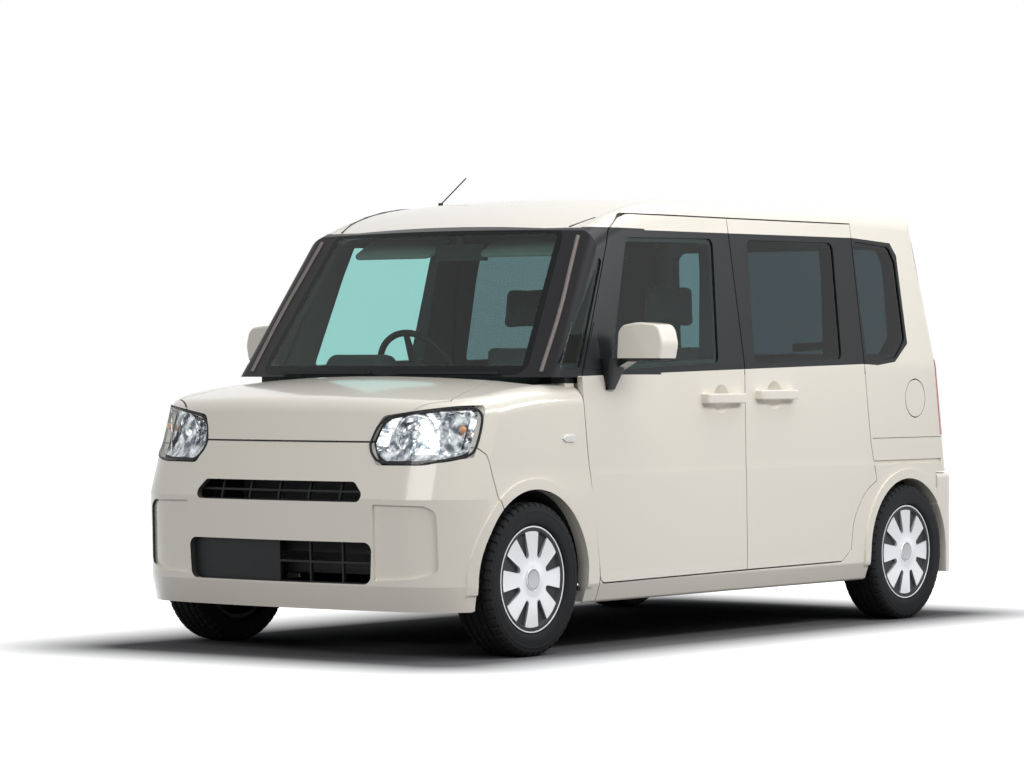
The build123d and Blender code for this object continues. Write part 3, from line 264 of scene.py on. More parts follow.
def cream_paint(name, dark_frames=False, dark_below=None, trim=(0.06, 0.062, 0.06)):
    """Cream outside, trim inside. Frames under the side glass, or what lies low, may be black too."""
    shader = Shader(name)
    place = shader.point()
    x, y, z = shader.axes(place)
    inward, under = turned_in(shader, y, z)
    flake = shader.noise(place, 900.0, 1.0)
    cloud = shader.noise(place, 1.7)
    cream = shader.mix(flake * 0.1, shader.mix(cloud, cream_deep, cream_pale), pearl)
    colour = shader.mix(under, shader.mix(inward, cream, (*trim, 1)), headlining)
    room = (inward + under).math("MINIMUM", 1.0)
    black = 0.0
    if dark_frames:
        skin_y = (belt_z - z) * side_slope + belt_y
        window_band = between(z, window_foot, window_top)
        sunk = window_band * ((skin_y - y.abs()) > 0.004) * between(x, window_tail_x, window_nose_x)
        pillar = window_band * (x > door_frame_x)
        low_ledge = between(z, 0.925, 0.96) * (x > 0.88) * (y.abs() < 0.69)
        ledge = low_ledge + between(z, 0.94, 0.96) * (x > 0.925)
        black = (sunk + pillar + ledge).math("MINIMUM", 1.0) * (1.0 - room)
        colour = shader.mix(black, colour, film_black)
        # the shut line over the sliding door's rail cover
        line = between(z, rail_cover_foot, rail_cover_top) * (x < rail_cover_x) * (y > 0)
        colour = shader.mix(line, colour, joint_shade)
    if dark_below:
        colour = shader.mix(z < dark_below, colour, low_black)
    grain = shader.noise(place, 420.0, 3.0) * room
    shader.set(
        base_color=colour,
        roughness=room * 0.35 + 0.3 + black * 0.1,
        coat_weight=(1.0 - room) * (0.8 - black * 0.75),
        coat_roughness=0.09,
        coat_ior=1.5,
        specular_ior_level=0.18,
        normal=shader.bump(grain, 0.0004, 0.5),
    )
    return shader.material


def give(names, material):
    """Puts one finish on CAD pieces."""
    for name in names:
        mesh = nodes[name].data
        mesh.materials.clear()
        mesh.materials.append(material)


give(
    ["roof_panel", "front_fender_left", "front_fender_right", "bonnet", "tailgate", "fuel_lid"],
    cream_paint("cream_paint"),
)
give(
    [
        "body_side_left", "body_side_right", "door_left", "door_right", "slide_door_left",
        "slide_door_right",
    ],
    cream_paint("cream_paint_with_frames", dark_frames=True),
)
give(["front_bumper", "rear_bumper"], cream_paint("bumper_cream"))


# Black trim: satin film on the window frames, grained plastic on the grille bars, the wiper arms
# and the aerial, all moulded or stuck on.
def shade(colour, share):
    """A colour made darker or paler by a share."""
    return (*[part * share for part in colour], 1)


def dark_plastic(name, colour, roughness, grain, depth):
    """Plastic, rubber, enamel or a casting: a mottled colour and a fine grain pressed in."""
    shader = Shader(name)
    place = shader.point()
    mottle = shader.noise(place, grain * 0.2)
    height = shader.noise(place, grain, 3.0, 0.6)
    shader.set(
        base_color=shader.mix(mottle, shade(colour, 0.85), shade(colour, 1.15)),
        roughness=mottle * 0.12 + (roughness - 0.06),
        specular_ior_level=0.2,
        normal=shader.bump(height, depth, 0.6),
    )
    return shader.material


frame_black = dark_plastic("frame_black", (0.010, 0.012, 0.014), 0.34, 260.0, 0.00008)
trim_black = dark_plastic("trim_black", (0.011, 0.012, 0.013), 0.5, 700.0, 0.0003)
give(["side_trims", "door_sash_left", "door_sash_right"], frame_black)
give(["grille", "wipers", "rear_wiper", "antenna"], trim_black)


# Underbody: floor and bulkhead in stone-chip coat, axle and arms in black enamel, raw castings.
# All are bolted or welded up from below.
chip_coat = dark_plastic("stone_chip_coat", (0.02, 0.02, 0.021), 0.75, 130.0, 0.0012)
enamel = dark_plastic("black_enamel", (0.012, 0.012, 0.012), 0.4, 60.0, 0.0003)
casting = dark_plastic("rough_casting", (0.16, 0.16, 0.165), 0.55, 90.0, 0.0008)
give(["floor_pan", "bulkhead", "front_structure"], chip_coat)
give(["front_suspension", "rear_axle", "fuel_tank", "exhaust"], enamel)
give(["engine", "knuckle_left", "knuckle_right"], casting)


# Tyres: moulded rubber with four round grooves, cut shoulders and a rim guard, pressed on the rims.
# One is shaped from a drum in the middle of the car and copied to the four corners.
def bare():
    """Leaves edit mode, with nothing selected."""
    if bpy.context.object and bpy.context.object.mode != "OBJECT":
        bpy.ops.object.mode_set(mode="OBJECT")
    bpy.ops.object.select_all(action="DESELECT")


def pick(piece):
    """Leaves edit mode and selects one piece alone."""
    bare()
    bpy.context.view_layer.objects.active = piece
    piece.select_set(True)


def begin(kind, name, location=(0, 0, 0), rotation=(0, 0, 0), scale=(1, 1, 1), **size):
    """Adds a primitive at its size and place, and opens it for shaping with all of it selected."""
    bare()
    getattr(bpy.ops.mesh, f"primitive_{kind}_add")(location=location, rotation=rotation, **size)
    piece = bpy.context.object
    piece.name = name
    piece.scale = scale
    bpy.ops.object.transform_apply()
    bpy.ops.object.mode_set(mode="EDIT")
    bpy.ops.mesh.select_all(action="SELECT")
    return piece


def choose(test, kind="FACE"):
    """Selects the faces, edges or points of the open piece whose middle passes the test."""
    bpy.ops.mesh.select_mode(type=kind)
    bpy.ops.mesh.select_all(action="DESELECT")
    mesh = bmesh.from_edit_mesh(bpy.context.object.data)
    for part in {"FACE": mesh.faces, "EDGE": mesh.edges, "VERT": mesh.verts}[kind]:
        points = [part] if kind == "VERT" else part.verts
        middle = sum((point.co for point in points), Vector()) / len(points)
        if test(middle, part):
            part.select_set(True)
    bmesh.update_edit_mesh(bpy.context.object.data)


def inset_rings(steps):
    """Insets the chosen faces ring by ring, each by a thickness and a depth."""
    for thickness, depth in steps:
        bpy.ops.mesh.inset(thickness=thickness, depth=depth)


def face_out():
    """Turns every face of the open piece outwards."""
    bpy.ops.mesh.select_all(action="SELECT")
    bpy.ops.mesh.normals_make_consistent(inside=False)


def dress(piece, material, body, smooth=35, bevel=0.0, segments=2):
    """Closes a piece: its edges rounded, its modifiers applied, shaded, finished and set on its body."""
    pick(piece)
    if bevel:
        rounding = piece.modifiers.new("rounding", "BEVEL")
        rounding.width, rounding.segments, rounding.limit_method = bevel, segments, "ANGLE"
        rounding.angle_limit = radians(30)
    for modifier in list(piece.modifiers):
        bpy.ops.object.modifier_apply(modifier=modifier.name)
    bpy.ops.object.transform_apply()
    bpy.ops.object.shade_smooth_by_angle(angle=radians(smooth))
    piece.data.materials.clear()
    piece.data.materials.append(material)
    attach(piece, body)
    return piece


def twin(piece, name, matrix):
    """A copy with its own mesh, moved or mirrored to its place."""
    copy = piece.copy()
    copy.data = piece.data.copy()
    copy.name = name
    scene.collection.objects.link(copy)
    copy.data.transform(matrix)
    if matrix.determinant() < 0:
        copy.data.flip_normals()
    return copy


across = Matrix.Scale(-1, 4, (0, 1, 0))
rubber = dark_plastic("tyre_rubber", (0.008, 0.0085, 0.0095), 0.72, 180.0, 0.0004)
tyre_radius, tyre_half = 0.262, 0.0775
groove_places, groove_half = (-0.042, -0.015, 0.015, 0.042), 0.003
columns = 144


def column(point):
    """The number of the tread's column in which a point lies."""
    return int((atan2(point.z, point.x) / (2 * pi) + 1) * columns + 0.001)


tyre = begin(
    "cylinder", "tyre_form", rotation=(pi / 2, 0, 0), vertices=columns, radius=tyre_radius,
    depth=2 * tyre_half,
)
for groove in groove_places:
    for side in (-groove_half, groove_half):
        bpy.ops.mesh.select_all(action="SELECT")
        bpy.ops.mesh.bisect(plane_co=(0, groove + side, 0), plane_no=(0, 1, 0))
# the shoulders, rounded
choose(
    lambda p, e: abs(abs(p.y) - tyre_half) < 1e-4 and hypot(p.x, p.z) > tyre_radius * 0.99
    and abs(e.verts[0].co.y - e.verts[1].co.y) < 1e-5,
    "EDGE",
)
bpy.ops.mesh.bevel(offset=0.021, segments=6, affect="EDGES")
# grooves round the tread
choose(lambda p, f: any(abs(p.y - g) < 0.002 for g in groove_places))
bpy.ops.mesh.inset(thickness=0.0005, depth=-0.006)
# cuts across the shoulders, one column in three, and short ones in the ribs between, one in four
choose(lambda p, f: abs(p.y) > 0.0455 and hypot(p.x, p.z) > 0.2485 and column(p) % 3 == 0)
bpy.ops.mesh.inset(thickness=0.0036, depth=-0.0045)
choose(
    lambda p, f: 0.019 < abs(p.y) < 0.038 and hypot(p.x, p.z) > 0.26
    and (column(p) + (2 if p.y > 0 else 0)) % 4 == 0
)
bpy.ops.mesh.inset(thickness=0.0042, depth=-0.004)
# side walls from the shoulder in to the bead, with a raised ring as rim guard
choose(lambda p, f: abs(f.normal.y) > 0.99 and hypot(p.x, p.z) < 0.001)
inset_rings([
    (0.006, 0.0), (0.001, 0.0007), (0.005, 0.0), (0.001, -0.0007), (0.016, 0.0006), (0.012, -0.0012),
    (0.008, -0.003), (0.004, -0.0035), (0.0035, -0.005), (0.001, -0.006),
])
bpy.ops.mesh.delete(type="ONLY_FACE")
choose(lambda p, e: e.is_boundary, "EDGE")
bpy.ops.mesh.bridge_edge_loops()
face_out()
bare()

# Wheel covers: eight-spoke plastic trims in silver paint, clipped to the steel rims behind them.
# Each opening is a wedge, wide at the rim, that shows the dark rim, and a cap covers the hub.
front_axle_x, rear_axle_x, axle_z, wheel_y = 1.190, -1.265, 0.262, 0.650
cap_ring, cap_radius = 0.034, 0.0315
silver = Shader("cover_silver")
place = silver.point()
x, _, z = silver.axes(place)
hubs = [
    ((x - axle_x) * (x - axle_x) + (z - axle_z) * (z - axle_z)).math("SQRT")
    for axle_x in (front_axle_x, rear_axle_x)
]
from_hub = hubs[0].math("MINIMUM", hubs[1])
paint_grey = silver.mix(silver.noise(place, 2600.0, 1.0), (0.62, 0.63, 0.65, 1), (0.74, 0.75, 0.77, 1))
paint_grey = silver.mix(from_hub < cap_ring, paint_grey, (0.10, 0.10, 0.11, 1))
paint_grey = silver.mix(from_hub < cap_radius, paint_grey, (0.40, 0.41, 0.42, 1))
silver.set(
    base_color=paint_grey,
    metallic=0.55,
    roughness=silver.noise(place, 60.0) * 0.08 + 0.27,
    coat_weight=0.4,
    coat_roughness=0.08,
)
rim_steel = dark_plastic("rim_steel", (0.03, 0.031, 0.033), 0.45, 60.0, 0.0002)
cover_radius, cover_back, cover_lip = 0.1815, 0.0585, 0.0685
cover = begin(
    "cylinder", "cover_form", rotation=(-pi / 2, 0, 0), location=(0, (cover_back + cover_lip) / 2, 0),
    vertices=96, radius=cover_radius, depth=cover_lip - cover_back,
)
choose(lambda p, f: f.normal.y > 0.9)
inset_rings([
    (0.0045, 0.0), (0.0015, -0.004), (0.012, 0.0004), (0.03, 0.0022), (0.035, 0.0026), (0.03, 0.0014),
    (0.022, -0.0005), (0.005, -0.0018), (0.003, 0.0), (0.0015, 0.0034), (0.012, 0.0008), (0.012, 0.0002),
])
openings, wedge_x, wedge_y = 8, 0.1255, 0.063
wedges = []
for turn in range(openings):
    wedge = begin("cube", f"wedge_{turn}", location=(wedge_x, wedge_y, 0), scale=(0.093, 0.05, 0.058),
                  size=1)
    choose(lambda p, v: p.x < wedge_x, "VERT")
    bpy.ops.transform.resize(value=(1, 1, 0.3), center_override=(0.08, wedge_y, 0))
    choose(lambda p, e: abs(e.verts[0].co.y - e.verts[1].co.y) > 0.04, "EDGE")
    bpy.ops.mesh.bevel(offset=0.0075, segments=4, affect="EDGES")
    bare()
    wedge.data.transform(Matrix.Rotation((turn + 0.5) * 2 * pi / openings, 4, "Y"))
    wedges.append(wedge)
for wedge in wedges:
    wedge.select_set(True)
bpy.context.view_layer.objects.active = wedges[0]
bpy.ops.object.join()
cut = cover.modifiers.new("openings", "BOOLEAN")
cut.operation, cut.solver, cut.object = "DIFFERENCE", "EXACT", wedges[0]
pick(cover)
bpy.ops.object.modifier_apply(modifier="openings")
bpy.data.objects.remove(wedges[0])

for corner in ("front_left", "front_right", "rear_left", "rear_right"):
    axle_x = front_axle_x if "front" in corner else rear_axle_x
    side = 1 if "left" in corner else -1
    home = Matrix.Translation((axle_x, wheel_y * side, axle_z)) @ (Matrix() if side > 0 else across)
    body = f"wheel_{corner}"
    rolled = twin(tyre, f"tyre_moulded_{corner}", home)
    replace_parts(dress(rolled, rubber, body), f"tyre_{corner}")
    dress(twin(cover, f"wheel_cover_{corner}", home), silver.material, body,
          bevel=0.0012)
    give([f"wheel_{corner}"], rim_steel)
bpy.data.objects.remove(tyre)
bpy.data.objects.remove(cover)


# Glass: green tinted in front, smoked behind the front doors, each pane one clear sheet bonded in.
# The windscreen has a black border printed on it, which hides the glue.
def pane(name, tint):
    """A thin pane: light passes with a tint at each face, and the rest is mirrored at a glancing angle."""
    shader = Shader(name)
    through = shader.node("ShaderNodeBsdfTransparent", None, {"Color": (*tint, 1)})
    mirror = shader.node("ShaderNodeBsdfGlossy", None, {"Color": (1, 1, 1, 1), "Roughness": 0.02})
    glancing = shader.node("ShaderNodeLayerWeight", None, {"Blend": 0.5}, output="Facing")
    behind = shader.node("ShaderNodeNewGeometry", output="Backfacing")
    share = (glancing.math("POWER", 4.0) * 0.4 + 0.028) * (1.0 - behind)
    shader.show(shader.node("ShaderNodeMixShader", None, {0: share, 1: through, 2: mirror}))
    return shader


def printed_edge(shader, mask):
    """Black ceramic print on the glass where the mask is 1."""
    shown = shader.tree.nodes["Material Output"].inputs["Surface"].links[0].from_socket
    shader.set(base_color=(0.004, 0.005, 0.006, 1), roughness=0.2, specular_ior_level=0.15)
    values = {0: mask, 1: shown, 2: shader.surface.outputs[0]}
    shader.show(shader.node("ShaderNodeMixShader", None, values))


green = pane("green_glass", (0.72, 0.90, 0.89))
smoked = pane("smoked_glass", (0.37, 0.44, 0.46))
give(["corner_glasses", "door_glass_left", "door_glass_right"], green.material)
# the screen narrows from its foot to its top
screen_foot, screen_half, screen_slope = 0.953, 0.592, -0.083 / 0.513
border_width, border_top, border_foot = 0.016, 1.452, 0.985
screen_glass = pane("screen_glass", (0.74, 0.87, 0.85))
y, z = screen_glass.axes(screen_glass.point())[1:]
half_width = (z - screen_foot) * screen_slope + screen_half
border = ((half_width - y.abs()) < border_width).math("MAXIMUM", z > border_top)
printed_edge(screen_glass, border.math("MAXIMUM", z < border_foot))
give(["windscreen"], screen_glass.material)
give(["privacy_glasses", "tailgate_glass"], smoked.material)


# Cowl cover: moulded black plastic between the bonnet and the glass, clipped to the bulkhead.
# It follows the crown of the bonnet and carries the two wiper spindles.
def reshape(move):
    """Moves every point of the open piece to where the rule puts it."""
    mesh = bmesh.from_edit_mesh(bpy.context.object.data)
    for vertex in mesh.verts:
        vertex.co = move(vertex.co)
    bmesh.update_edit_mesh(bpy.context.object.data)


def pull(offset):
    """Draws the chosen faces out to a thickness and turns the piece's faces outwards."""
    bpy.ops.mesh.extrude_region_move(TRANSFORM_OT_translate={"value": offset})
    face_out()


cowl_middle, cowl_depth, cowl_width = (1.045, 0, 0.943), 0.084, 1.19
cowl_front_x, cowl_droop, cowl_sweep = 1.087, 14.6, 9.0
cowl = begin("grid", "cowl_cover", location=cowl_middle, x_subdivisions=6, y_subdivisions=32, size=1,
             scale=(cowl_depth, cowl_width, 1))
reshape(lambda p: Vector((
    p.x - p.y**2 / cowl_sweep * (cowl_front_x - p.x) / cowl_depth, p.y, p.z - p.y**2 / cowl_droop,
)))
# slots for the cabin's air
choose(lambda p, f: p.x < 1.05 and int((p.y + 1) * 27) % 2 == 0)
bpy.ops.mesh.inset(thickness=0.004, depth=-0.003, use_individual=True)
bpy.ops.mesh.select_all(action="SELECT")
pull((0, 0, -0.012))
dress(cowl, trim_black, "car_body")


# Mirror feet: black plastic, screwed to the front doors below the belt, each with a sail that
# fills the window's front corner. The painted shell is the CAD piece.
def outline(name, points, thickness, at=0.0):
    """A plate cut to an outline, given as pairs ahead and up, and pulled out to its thickness."""
    piece = begin("circle", name, vertices=len(points), radius=1, fill_type="NGON")
    mesh = bmesh.from_edit_mesh(piece.data)
    for vertex, (ahead, up) in zip(mesh.verts, points):
        vertex.co = (ahead, at, up)
    bmesh.update_edit_mesh(piece.data)
    pull(thickness)
    return piece


both_sides = ((1, "left"), (-1, "right"))
foot_middle, foot_size = (0.735, 0.737, 0.957), (0.112, 0.056, 0.108)
sail_outline = [(0.888, 0.975), (0.79, 0.975), (0.79, 1.112), (0.8, 1.138)]
for side, name in both_sides:
    foot = begin("cube", f"mirror_foot_{name}", location=foot_middle, scale=foot_size, size=1)
    choose(lambda p, v: p.z < 0.93, "VERT")
    bpy.ops.transform.resize(value=(0.42, 0.3, 1), center_override=(0.742, 0.715, 0.9))
    choose(lambda p, e: abs(e.verts[0].co.z - e.verts[1].co.z) > 0.05, "EDGE")
    bpy.ops.mesh.bevel(offset=0.012, segments=3, affect="EDGES")
    sail = outline(f"mirror_sail_{name}", sail_outline, (0, 0.006, 0), at=0.7135)
    reshape(lambda p: Vector((p.x, p.y - max(0.0, p.z - belt_z) * side_slope, p.z)))
    bare()
    for piece in (foot, sail):
        if side < 0:
            piece.data.transform(across)
            piece.data.flip_normals()
        dress(piece, trim_black, f"front_door_{name}", bevel=0.0025)
give(["mirror_left", "mirror_right"], cream_paint("mirror_cream", dark_below=1.012))

# Door grips: moulded in body colour over the cups, screwed through the skin. Their undersides are
# the same cream, so they take no trim colour where they face the door.
grip_cream = cream_paint("grip_cream", trim=(0.70, 0.66, 0.58))
give(["handle_left", "handle_right", "slide_handles"], grip_cream)

# Side markers: clear ribbed lenses with six sides, clipped into the front wings.
lens_white = Shader("marker_lens", roughness=0.12, coat_weight=0.7)
x = lens_white.axes(lens_white.point())[0]
ribs = ((x * 900.0).math("SINE") + 1.0) * 0.5
lens_white.set(base_color=lens_white.mix(ribs, (0.62, 0.62, 0.62, 1), (0.82, 0.81, 0.78, 1)))
marker = outline(
    "side_marker_left",
    [(0.948, 0.7365), (0.956, 0.749), (1.005, 0.749), (1.022, 0.7365), (1.005, 0.724), (0.956, 0.724)],
    (0, 0.0085, 0), at=0.7165,
)
choose(lambda p, f: f.normal.y > 0.9)
bpy.ops.mesh.inset(thickness=0.004, depth=0.0008)
bare()
for piece in (marker, twin(marker, "side_marker_right", across)):
    dress(piece, lens_white.material, "car_body", bevel=0.0018)

# Windscreen pillar strips and roof ditch mouldings: rolled black strips with a satin face, pressed
# into the joint between the sides and the roof.
# the pillar strips' grey-brown: a painted highlight, the pale sheen along the dark pillar
pillar_highlight_grey = dark_plastic("pillar_strip", (0.19, 0.165, 0.16), 0.3, 300.0, 0.0001)
picture_width, picture_height = 1024, 768


def strip(name, points, width, material, closed=False):
    """A cord of rubber or plastic along points, as a curve made a mesh."""
    line = bpy.data.curves.new(name, "CURVE")
    line.dimensions = "3D"
    line.bevel_depth = width / 2
    line.bevel_resolution = 3
    line.use_fill_caps = True
    spline = line.splines.new("NURBS" if closed else "POLY")
    spline.points.add(len(points) - 1)
    spline.use_cyclic_u = closed
    spline.order_u = 3
    for point, spot in zip(spline.points, points):
        point.co = (*spot, 1)
    curve = bpy.data.objects.new(name, line)
    scene.collection.objects.link(curve)
    pick(curve)
    bpy.ops.object.convert(target="MESH")
    dress(bpy.context.object, material, "car_body")


def roof_height(x, y):
    """The height of the sides' and the roof's skin at a spot."""
    heights = []
    for name in ("body_side_left", "body_side_right", "roof_panel"):
        hit, spot, *_ = nodes[name].ray_cast(Vector((x, y, 2.5)), Vector((0, 0, -1)))
        if hit:
            heights.append(spot.z)
    return max(heights, default=None)


def seen_at(pixel, names):
    """The place on the named CAD pieces that the photograph shows at a pixel."""
    column_x, row_y = pixel
    focal = lens_mm / sensor_mm * picture_width
    aim = Vector((column_x - picture_width / 2, picture_height / 2 - row_y, -focal)).normalized()
    struck = [nodes[name].ray_cast(camera_place, camera_turn.to_matrix() @ aim) for name in names]
    spots = [spot for hit, spot, *_ in struck if hit]
    return min(spots, key=lambda spot: (spot - camera_place).length)


def mirrored(points, side):
    """Points of the left side, or their twins on the right."""
    return [(x, side * y, z) for x, y, z in points]


for side, name in both_sides:
    points = []
    for step in range(22):
        x = 0.70 - step * 0.1
        y = side * min(0.566, 0.514 + max(0.0, 0.71 - x) * 0.37)
        z = roof_height(x, y)
        if z:
            points.append((x, y, z - 0.0005))
    strip(f"roof_moulding_{name}", points, 0.008, trim_black)

# Pillar strips: satin mouldings along the screen's sides, from the cowl to the roof, where the
# photograph shows the one on the left. Their grey-brown colour is a painted highlight: the pale sheen
# along the dark pillar.
pillar_pixels = [(541, 372), (548, 350), (556, 325), (563, 300), (571, 265), (578, 236)]
pillar_line = [seen_at(pixel, ["body_side_left"]) for pixel in pillar_pixels]
for side, name in both_sides:
    strip(f"pillar_strip_{name}", mirrored(pillar_line, side), 0.015, pillar_highlight_grey)

# Headlamps: a faceted reflector shell in vacuum chrome, whose colour carries painted reflections in dark
# and bright patches, a dipped bulb behind a bright cap in the inner two thirds, an amber indicator bulb
# in the outer third, and a clear lens glued on.
painted_reflection_chrome = Shader("painted_reflection_chrome", metallic=1.0)
place = painted_reflection_chrome.point()
facets = painted_reflection_chrome.node("ShaderNodeTexVoronoi", {"feature": "F1"}, {"Vector": place, "Scale": 60.0})
swirl = painted_reflection_chrome.noise(place, 34.0)
# painted reflections: depth is a noise mask that patches the chrome's colour from near black to bright
depth = ((swirl - 0.5) * 3.4 + 0.42).math("MAXIMUM", 0.0).math("MINIMUM", 1.0)
painted_reflection_chrome.set(
    base_color=painted_reflection_chrome.mix(depth, (0.10, 0.12, 0.14, 1), (0.86, 0.86, 0.86, 1)),
    roughness=swirl * 0.1 + 0.1,
    normal=painted_reflection_chrome.bump(facets + swirl * 0.6, 0.003, 0.5),
)
chrome = painted_reflection_chrome.material
give(["headlamps"], chrome)
give(["headlamp_lenses"], pane("clear_lens", (0.97, 0.98, 0.985)).material)
amber = Shader("amber_bulb", base_color=(0.75, 0.33, 0.12, 1), roughness=0.15, coat_weight=0.5)


def thicken(thickness):
    """Gives the open sheet a wall along its normals and turns its faces outwards."""
    bpy.ops.mesh.select_all(action="SELECT")
    bpy.ops.mesh.extrude_region_shrink_fatten(TRANSFORM_OT_shrink_fatten={"value": thickness})
    face_out()


bowl_place, bulb_x, lamp_turn = Vector((1.545, 0.503, 0.752)), 1.556, 0.42
bowl_axis = Vector((cos(lamp_turn), sin(lamp_turn), 0))
bezel = begin(
    "torus", "lamp_bezel_left", location=(bulb_x, 0.505, bowl_place.z), rotation=(0, pi / 2, lamp_turn),
    major_radius=0.068, minor_radius=0.0055, major_segments=64, minor_segments=12,
)
bowl = begin("uv_sphere", "lamp_bowl_left", location=bowl_place, rotation=(0, pi / 2, lamp_turn),
             segments=48, ring_count=24, radius=0.066, scale=(1, 1, 0.42))
choose(lambda p, f: (p - bowl_place).dot(bowl_axis) > 0.002)
bpy.ops.mesh.delete(type="FACE")
thicken(0.002)
bulb_cap = begin("uv_sphere", "bulb_cap_left", location=(bulb_x, bowl_place.y, bowl_place.z),
                 segments=32, ring_count=16, radius=0.02, scale=(0.7, 1, 1))
indicator = begin("uv_sphere", "indicator_bulb_left", location=(1.492, 0.652, 0.772), segments=24,
                  ring_count=12, radius=0.013)
divider = begin("cube", "lamp_divider_left", location=(1.534, 0.606, 0.757), scale=(0.03, 0.003, 0.15),
                rotation=(0, 0, -0.6), size=1)
bare()
for piece, finish in [
    (bezel, chrome), (bowl, chrome), (bulb_cap, chrome), (indicator, amber.material), (divider, chrome),
]:
    far = twin(piece, piece.name.replace("left", "right"), across)
    for one in (piece, far):
        dress(one, finish, "car_body")

# Lamp shells and gaskets: a chrome shell closes the lamp behind its lens, and a black rubber cord is
# pressed into the joint round the lens, along the edge that the photograph shows.
lamp_pixels = [
    (370, 445), (372, 455), (380, 464), (420, 464), (445, 462), (467, 457), (474, 452), (477, 445),
    (481, 430), (483, 415), (476, 408), (460, 408), (446, 409), (412, 413), (400, 415), (389, 417),
    (382, 422), (377, 428), (371.5, 441),
]
lamp_surround = ["headlamp_lenses", "front_bumper", "front_fender_left", "bonnet"]
lamp_edge = [seen_at(pixel, lamp_surround) for pixel in lamp_pixels]
shell_back, shell_front = Vector((1.40, 0.45, 0.75)), Vector((1.545, 0.53, 0.75))


def shell_point(point):
    """A point of the flat disc, taken to the lamp's edge by its turn, or the middle one to its front."""
    if point.length < 0.1:
        return shell_front.lerp(shell_back, 0.18)
    turn = round(atan2(point.x, point.y) / (2 * pi) * len(lamp_edge)) % len(lamp_edge)
    return lamp_edge[turn].lerp(shell_back, 0.10)


shell = begin("circle", "lamp_shell_left", vertices=len(lamp_edge), radius=1, fill_type="TRIFAN")
reshape(shell_point)
bpy.ops.mesh.select_all(action="SELECT")
pull((-0.003, -0.001, 0))
bare()
for piece in (shell, twin(shell, "lamp_shell_right", across)):
    dress(piece, chrome, "car_body")
for side, name in both_sides:
    strip(f"lamp_gasket_{name}", mirrored(lamp_edge, side), 0.009, trim_black, closed=True)

# Tail lamps: moulded red lenses on the rear corners, ribbed inside, clipped to the body. They wrap
# round onto the sides, and each wrap is cut from a copy of the side's own skin.
red = Shader("tail_red", roughness=0.1, coat_weight=0.7)
z = red.axes(red.point())[2]
rib = ((z * 620.0).math("SINE") + 1.0) * 0.5
red.set(base_color=red.mix(rib, (0.20, 0.004, 0.008, 1), (0.62, 0.014, 0.02, 1)))
give(["tail_lamps"], red.material)

wrap_foot, wrap_top, wrap_front = (0, 0, 0.716), (0, 0, 1.012), (-1.493, 0, 1.012)
wrap = twin(nodes["body_side_left"], "tail_wrap_left", Matrix())
wrap.parent = None
for key in list(wrap.keys()):
    del wrap[key]
pick(wrap)
bpy.ops.object.mode_set(mode="EDIT")
bpy.ops.mesh.select_all(action="SELECT")
bpy.ops.mesh.remove_doubles(threshold=0.00002)
for spot, facing in [(wrap_foot, (0, 0, -1)), (wrap_top, (0, 0, 1)), (wrap_front, (1, 0, -0.105))]:
    bpy.ops.mesh.select_all(action="SELECT")
    bpy.ops.mesh.bisect(plane_co=spot, plane_no=facing, clear_outer=True, use_fill=False)
choose(lambda p, f: f.normal.y < 0.12 or p.y < 0.66)
bpy.ops.mesh.delete(type="FACE")
thicken(0.0025)
bare()
for piece in (wrap, twin(wrap, "tail_wrap_right", across)):
    dress(piece, red.material, "car_body")

# Bonnet seal: a black rubber strip, pushed onto the edge along the joint between the bonnet and the
# bumper. It bows forward in the middle.
seal_x, seal_z, seal_bow, seal_reach = 1.6400, 0.7300, 0.025, 0.39
seal = []
for step in range(15):
    y = (step - 7) * 0.0525
    seal.append((seal_x - seal_bow * (y / seal_reach) ** 2, y, seal_z))
strip("bonnet_seal", seal, 0.0065, trim_black)

# Dashboard: grained dark plastic, screwed to the bulkhead, with an instrument hood ahead of the
# driver and four air vents.
cabin_plastic = dark_plastic("cabin_plastic", (0.035, 0.036, 0.036), 0.6, 520.0, 0.0005)
give(["dashboard", "steering_column", "inner_mirror"], cabin_plastic)
driver_y = -0.345
hood = begin("cube", "instrument_hood", location=(0.79, driver_y, 0.972), scale=(0.16, 0.34, 0.11),
             size=1)
choose(lambda p, v: p.z > 0.98, "VERT")
bpy.ops.transform.resize(value=(0.7, 0.66, 1), center_override=(0.82, driver_y, 1.02))
dress(hood, cabin_plastic, "car_body", bevel=0.024, segments=5)
for place_y in (-0.5, -0.06, 0.06, 0.5):
    vent = begin("cube", f"vent_{'far' if place_y < 0 else 'near'}_{int(abs(place_y) * 100)}",
                 location=(0.622, place_y, 0.83), scale=(0.02, 0.1, 0.055), size=1)
    choose(lambda p, f: f.normal.x < -0.9)
    bpy.ops.mesh.inset(thickness=0.006, depth=-0.006)
    dress(vent, cabin_plastic, "car_body", bevel=0.003)

# Steering wheel: a leather rim on three plastic spokes and a domed hub, bolted to the column.
# It is made flat and then tipped onto the column's end.
leather = dark_plastic("rim_leather", (0.02, 0.02, 0.02), 0.5, 900.0, 0.0004)
wheel_tip = radians(-66)
wheel_place = Matrix.Translation((0.470, driver_y, 0.955)) @ Matrix.Rotation(wheel_tip, 4, "Y")
rim = begin("torus", "steering_rim", major_radius=0.1675, minor_radius=0.0125, major_segments=72,
            minor_segments=16)
hub = begin("uv_sphere", "steering_hub", segments=32, ring_count=16, radius=0.06, scale=(1, 1, 0.3))
spokes = []
for turn in (0, pi, -pi / 2):
    spoke = begin("cube", f"steering_spoke_{len(spokes)}", location=(0.105, 0, -0.002),
                  scale=(0.115, 0.034, 0.016), size=1)
    choose(lambda p, v: p.x > 0.1, "VERT")
    bpy.ops.transform.resize(value=(1, 0.62, 0.8), center_override=(0.16, 0, 0))
    bare()
    spoke.data.transform(Matrix.Rotation(turn + pi / 2, 4, "Z"))
    spokes.append(spoke)
